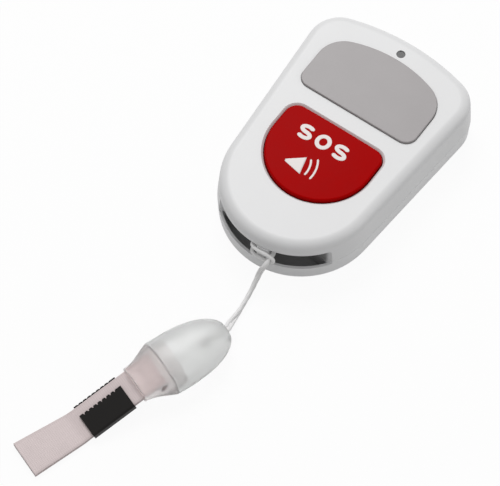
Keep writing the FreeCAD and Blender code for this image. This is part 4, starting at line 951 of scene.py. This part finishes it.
@dataclass
class NeckRibbon(Strap):
    """Ribbon folded double round the holder's bar, a little wider past the clamp."""

    width: float = 8.0
    end_width: float = 9.3
    spread_start: float = 39.0
    gauge: float = 0.62
    gap: float = 0.06
    lift: float = 0.03
    length: float = 54.0
    slope_end: float = 40.6
    holder_end: float = 24.6
    bar_run: float = 19.3
    bar_radius: float = 0.85
    bar_gap: float = 0.05
    parting_runs: Tuple[float, float] = (2.6, 0.9)
    bends: Tuple[float, float, float, float] = (6.0, 3.0, 1.0, 0.8)
    turn_short: float = 0.01
    rib_pitch: float = 0.5
    rib_relief: float = 0.07
    rib_steps: int = 6
    hem_run: float = 0.75
    hem_width: float = 0.16
    hem_depth: float = 0.1
    squareness: Tuple[float, float] = (0.22, 0.5)
    around: int = 48
    finish: WovenRibbon = WovenRibbon("woven_ribbon", (0.775, 0.665, 0.66))

    def centreline(self) -> Tuple[np.ndarray, np.ndarray]:
        """Follow the fold's middle along the lower layer, round the bar and back along the upper one.

        Returns:
            Rows of (run, height), evenly apart, and the length along the ribbon at each.
        """
        apart = (self.gauge + self.gap) / 2
        round_bar = self.bar_radius + self.bar_gap + self.gauge / 2
        low, axis = self.lift + self.gauge + self.gap / 2, self.axis_height
        closed, parted = (self.bar_run + run for run in self.parting_runs)
        slope_bend, holder_bend, closed_bend, parted_bend = self.bends
        layer = [(self.length, low, apart, 0), (self.slope_end, low, apart, slope_bend),
                 (self.holder_end, axis, apart, holder_bend), (closed, axis, apart, closed_bend),
                 (parted, axis, round_bar, parted_bend),
                 (self.bar_run - round_bar, axis, round_bar, round_bar - self.turn_short)]
        under = [(run, height - away, bend) for run, height, away, bend in layer]
        over = [(run, height + away, bend) for run, height, away, bend in reversed(layer)]
        return evenly(rounded(np.array(under + over)), self.rib_pitch / self.rib_steps)

    def build(self) -> bpy.types.Object:
        """Carry a flat section with rounded edges and a groove beside each hem along the fold.

        thickness = gauge (1 - relief + relief sin(2 pi run / pitch)), for the ribs across it.

        Returns:
            The ribbon.
        """
        flat, run = self.centreline()
        path = np.stack([np.zeros(len(flat)), flat[:, 0], flat[:, 1]], -1)
        across = np.tile([1.0, 0.0, 0.0], (len(path), 1))
        along = np.gradient(path, axis=0)
        up = np.cross(along / np.linalg.norm(along, axis=1, keepdims=True), across)
        turn = full_turn(self.around)
        wide = self.width / 2 * squared(np.cos(turn), self.squareness[0])
        thick = self.gauge / 2 * squared(np.sin(turn), self.squareness[1])
        from_hem = np.abs(wide) - self.width / 2 + self.hem_run
        hem = 1 - self.hem_depth * np.exp(-(from_hem / self.hem_width) ** 2)
        ribs = 1 - self.rib_relief + self.rib_relief * np.sin(2 * math.pi * run / self.rib_pitch)
        widening = (1, self.end_width / self.width)
        spread = np.interp(flat[:, 0], (self.spread_start, self.length), widening)[:, None]
        grid = (path[:, None] + across[:, None] * (wide * spread)[..., None]
                + up[:, None] * (thick * hem)[None, :, None] * ribs[:, None, None])
        columns = np.append(wide, wide[0]) / self.width + 0.5
        uv = np.stack(np.broadcast_arrays(columns[None, :], (run / self.width)[:, None]), -1)
        piece = surface("neck_ribbon", self.placed(grid), Ends.POLES, uv)
        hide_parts("strap_ribbon")
        return dress(piece, self.finish, "housing")


# Marks on the button, in millimetres and degrees

class Letter(Enum):
    """How a letter of the distress call is drawn."""

    ARCS = "S"
    RING = "O"


@dataclass
class ButtonMarks:
    """Plain printed distress letters and a horn with sound waves, lying on the button's crowned top."""

    top: float = 14.9
    crown_y: float = -8.4
    reach: float = 16.1
    rise: float = 0.5
    letter_height: float = 4.2
    letter_width: float = 3.95
    stroke_half: float = 0.52
    letters: Tuple[Tuple[Letter, float], ...] = ((Letter.ARCS, -5.75), (Letter.RING, -0.9),
                                                 (Letter.ARCS, 3.95))
    middle_y: float = -3.4
    upper_arc: Tuple[float, float] = (25.0, 270.0)
    lower_arc: Tuple[float, float] = (90.0, -155.0)
    arc_points: int = 36
    ring_points: int = 64
    horn_start: Tuple[float, float] = (-5.4, -12.4)
    horn_turn: float = 14.0
    horn_length: float = 4.5
    horn_halves: Tuple[float, float] = (0.3, 2.4)
    horn_points: int = 12
    wave_distances: Tuple[float, ...] = (6.0, 7.6)
    wave_spread: float = 22.0
    wave_half: float = 0.25
    wave_points: int = 24
    thickness: float = 0.07
    squareness: float = 0.5
    tip_share: float = 0.02
    around: int = 16
    finish: MouldedPlastic = MouldedPlastic("white_print", (0.86, 0.80, 0.78), roughness=0.5,
                                            grain_size=0.1, grain_depth=0.003)

    def lift(self, flat: np.ndarray) -> np.ndarray:
        """Height of the crowned top: top minus distance squared over twice the crown's radius."""
        crown = (self.reach ** 2 + self.rise ** 2) / (2 * self.rise)
        return self.top - (flat[..., 0] ** 2 + (flat[..., 1] - self.crown_y) ** 2) / (2 * crown)

    def stroke(self, name: str, path: np.ndarray, half: Union[float, np.ndarray], closed: bool = False,
               blunt: bool = False) -> bpy.types.Object:
        """Carry a low rounded section along a flat path.

        Towards a round end, half = half sqrt(1 - (1 - distance from the end / half)^2).

        Args:
            name: the mark's name.
            path: points on the button, one in a row.
            half: half of the line's width, one for all or one for each point.
            closed: whether the path runs into itself.
            blunt: whether its ends are square, not round.

        Returns:
            The mark.
        """
        half = np.broadcast_to(np.asarray(half, float), len(path)).copy()
        if closed:
            along = np.roll(path, -1, 0) - np.roll(path, 1, 0)
        else:
            along = np.gradient(path, axis=0)
        along /= np.linalg.norm(along, axis=1, keepdims=True)
        if not closed and not blunt:
            run = run_along(path)
            from_end = np.minimum(run, run[-1] - run)
            half *= np.sqrt(np.clip(1 - np.clip(1 - from_end / half, 0, 1) ** 2, self.tip_share, 1))
        across = np.stack([-along[:, 1], along[:, 0]], -1)
        turn = full_turn(self.around)
        wide, tall = (squared(wave, self.squareness) for wave in (np.cos(turn), np.sin(turn)))
        flat = path[:, None] + across[:, None] * (half[:, None] * wide)[..., None]
        grid = np.concatenate([flat, (self.lift(flat) + tall * self.thickness)[..., None]], -1)
        return surface(name, grid, Ends.WRAPPED if closed else Ends.POLES)

    def letter(self, name: str, kind: Letter, middle: float) -> bpy.types.Object:
        """Print a letter: an S is two arcs of an ellipse, one above the other, and an O is one ellipse.

        Args:
            name: the mark's name.
            kind: how it is drawn.
            middle: the X of its middle.

        Returns:
            The mark.
        """
        wide, tall = self.letter_width / 2 - self.stroke_half, self.letter_height / 2 - self.stroke_half
        if kind is Letter.RING:
            angle = full_turn(self.ring_points)
            path = np.stack([wide * np.cos(angle), tall * np.sin(angle)], -1)
        else:
            upper, lower = (np.radians(np.linspace(*arc, self.arc_points))
                            for arc in (self.upper_arc, self.lower_arc))
            bow, lower = tall / 2, lower[1:]
            path = np.vstack([np.stack([wide * np.cos(upper), bow + bow * np.sin(upper)], -1),
                              np.stack([wide * np.cos(lower), -bow + bow * np.sin(lower)], -1)])
        path = path + [middle, self.middle_y]
        return self.stroke(name, path, self.stroke_half, closed=kind is Letter.RING)

    def horn(self) -> List[bpy.types.Object]:
        """Print a cone that widens to the right, and arcs of sound about its narrow end.

        Returns:
            The cone and the arcs.
        """
        turn = math.radians(self.horn_turn)
        way = np.array([math.cos(turn), math.sin(turn)])
        start = np.array(self.horn_start)
        share = np.linspace(0, 1, self.horn_points)
        cone = start + way * (share * self.horn_length)[:, None]
        marks = [self.stroke("alarm_horn", cone, np.interp(share, (0, 1), self.horn_halves), blunt=True)]
        angle = turn + np.radians(np.linspace(-self.wave_spread, self.wave_spread, self.wave_points))
        for number, distance in enumerate(self.wave_distances):
            path = start + distance * np.stack([np.cos(angle), np.sin(angle)], -1)
            marks.append(self.stroke(f"sound_wave_{number}", path, self.wave_half))
        return marks

    def build(self) -> None:
        """Print the letters and the horn on the button."""
        marks = [self.letter(f"distress_letter_{number}", kind, middle)
                 for number, (kind, middle) in enumerate(self.letters)]
        for mark in marks + self.horn():
            dress(mark, self.finish, "button")


# Nodes that keep their solids' shapes

@dataclass
class Electronics:
    """Finishes of the screws and of what the covers hold."""

    steel: Metal = Metal("plated_steel", (0.62, 0.62, 0.63))
    nickel: Metal = Metal("nickel", (0.66, 0.64, 0.60))
    board: GlossPlastic = GlossPlastic("board_lacquer", (0.02, 0.16, 0.07), roughness=0.35)
    black: MouldedPlastic = MouldedPlastic("black_moulding", (0.02, 0.02, 0.02))
    ceramic: MouldedPlastic = MouldedPlastic("fired_ceramic", (0.35, 0.25, 0.16))
    wire: Metal = Metal("tinned_wire", (0.72, 0.70, 0.66))
    resin: MilkyPlastic = MilkyPlastic("lamp_resin", (0.5, 0.05, 0.04))

    def build(self) -> None:
        """Dress the screws and the inner nodes."""
        dress_nodes(self.steel, "cover_screws", "board_screws", "switch_cover", "battery_clip")
        dress_nodes(self.nickel, "resonator", "coin_cell", "battery_contact")
        dress_nodes(self.board, "circuit_board")
        dress_nodes(self.black, "switch_base", "switch_plunger", "control_chip")
        dress_nodes(self.ceramic, "chip_parts")
        dress_nodes(self.wire, "loop_antenna")
        dress_nodes(self.resin, "status_lamp")


@dataclass
class Housing:
    """Finishes of the covers, button, plate, window, holder and clamp."""

    casing: Casing = Casing("grey_white_casing", (0.78, 0.78, 0.784), roughness=0.4)
    red: GlossPlastic = GlossPlastic("red_button", (0.41, 0.0006, 0.0008), roughness=0.36, specular=0.02)
    plate: MouldedPlastic = MouldedPlastic("satin_plate", (0.33, 0.309, 0.311), roughness=0.38,
                                           grain_size=0.16, grain_depth=0.01, tone=0.05)
    smoked: GlossPlastic = GlossPlastic("smoked_window", (0.065, 0.065, 0.067), roughness=0.25,
                                        specular=0.3)
    pink: MilkyPlastic = MilkyPlastic("pinkish_holder", (1.0, 0.96, 0.955), clearness=0.9, roughness=0.36)
    black: Metal = Metal("black_clamp", (0.006, 0.005, 0.0045), metallic=0.0, roughness=0.45,
                         specular=0.16)

    def build(self) -> None:
        """Dress the outer nodes that keep their shape."""
        dress_nodes(self.casing, "front_cover", "rear_cover")
        dress_nodes(self.red, "button_cap")
        dress_nodes(self.plate, "face_plate")
        dress_nodes(self.smoked, "lamp_window")
        dress_nodes(self.pink, "strap_holder")
        dress_nodes(self.black, "strap_clamp")


def main() -> None:
    """Build the scene in order: studio and cord first, then the strap, the body and what is inside."""
    logging.basicConfig(level=logging.INFO, format="%(name)s: %(message)s")
    Studio().build()
    cord = LanyardCord()
    path = cord.centreline()
    strand = cord.build(path)
    on_it = [CordCap().build(), StopperKnot().build(), NeckRibbon().build(),
             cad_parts["strap_holder"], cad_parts["strap_clamp"]]
    Housing().build()
    ButtonMarks().build()
    Electronics().build()


if __name__ == "__main__":
    main()
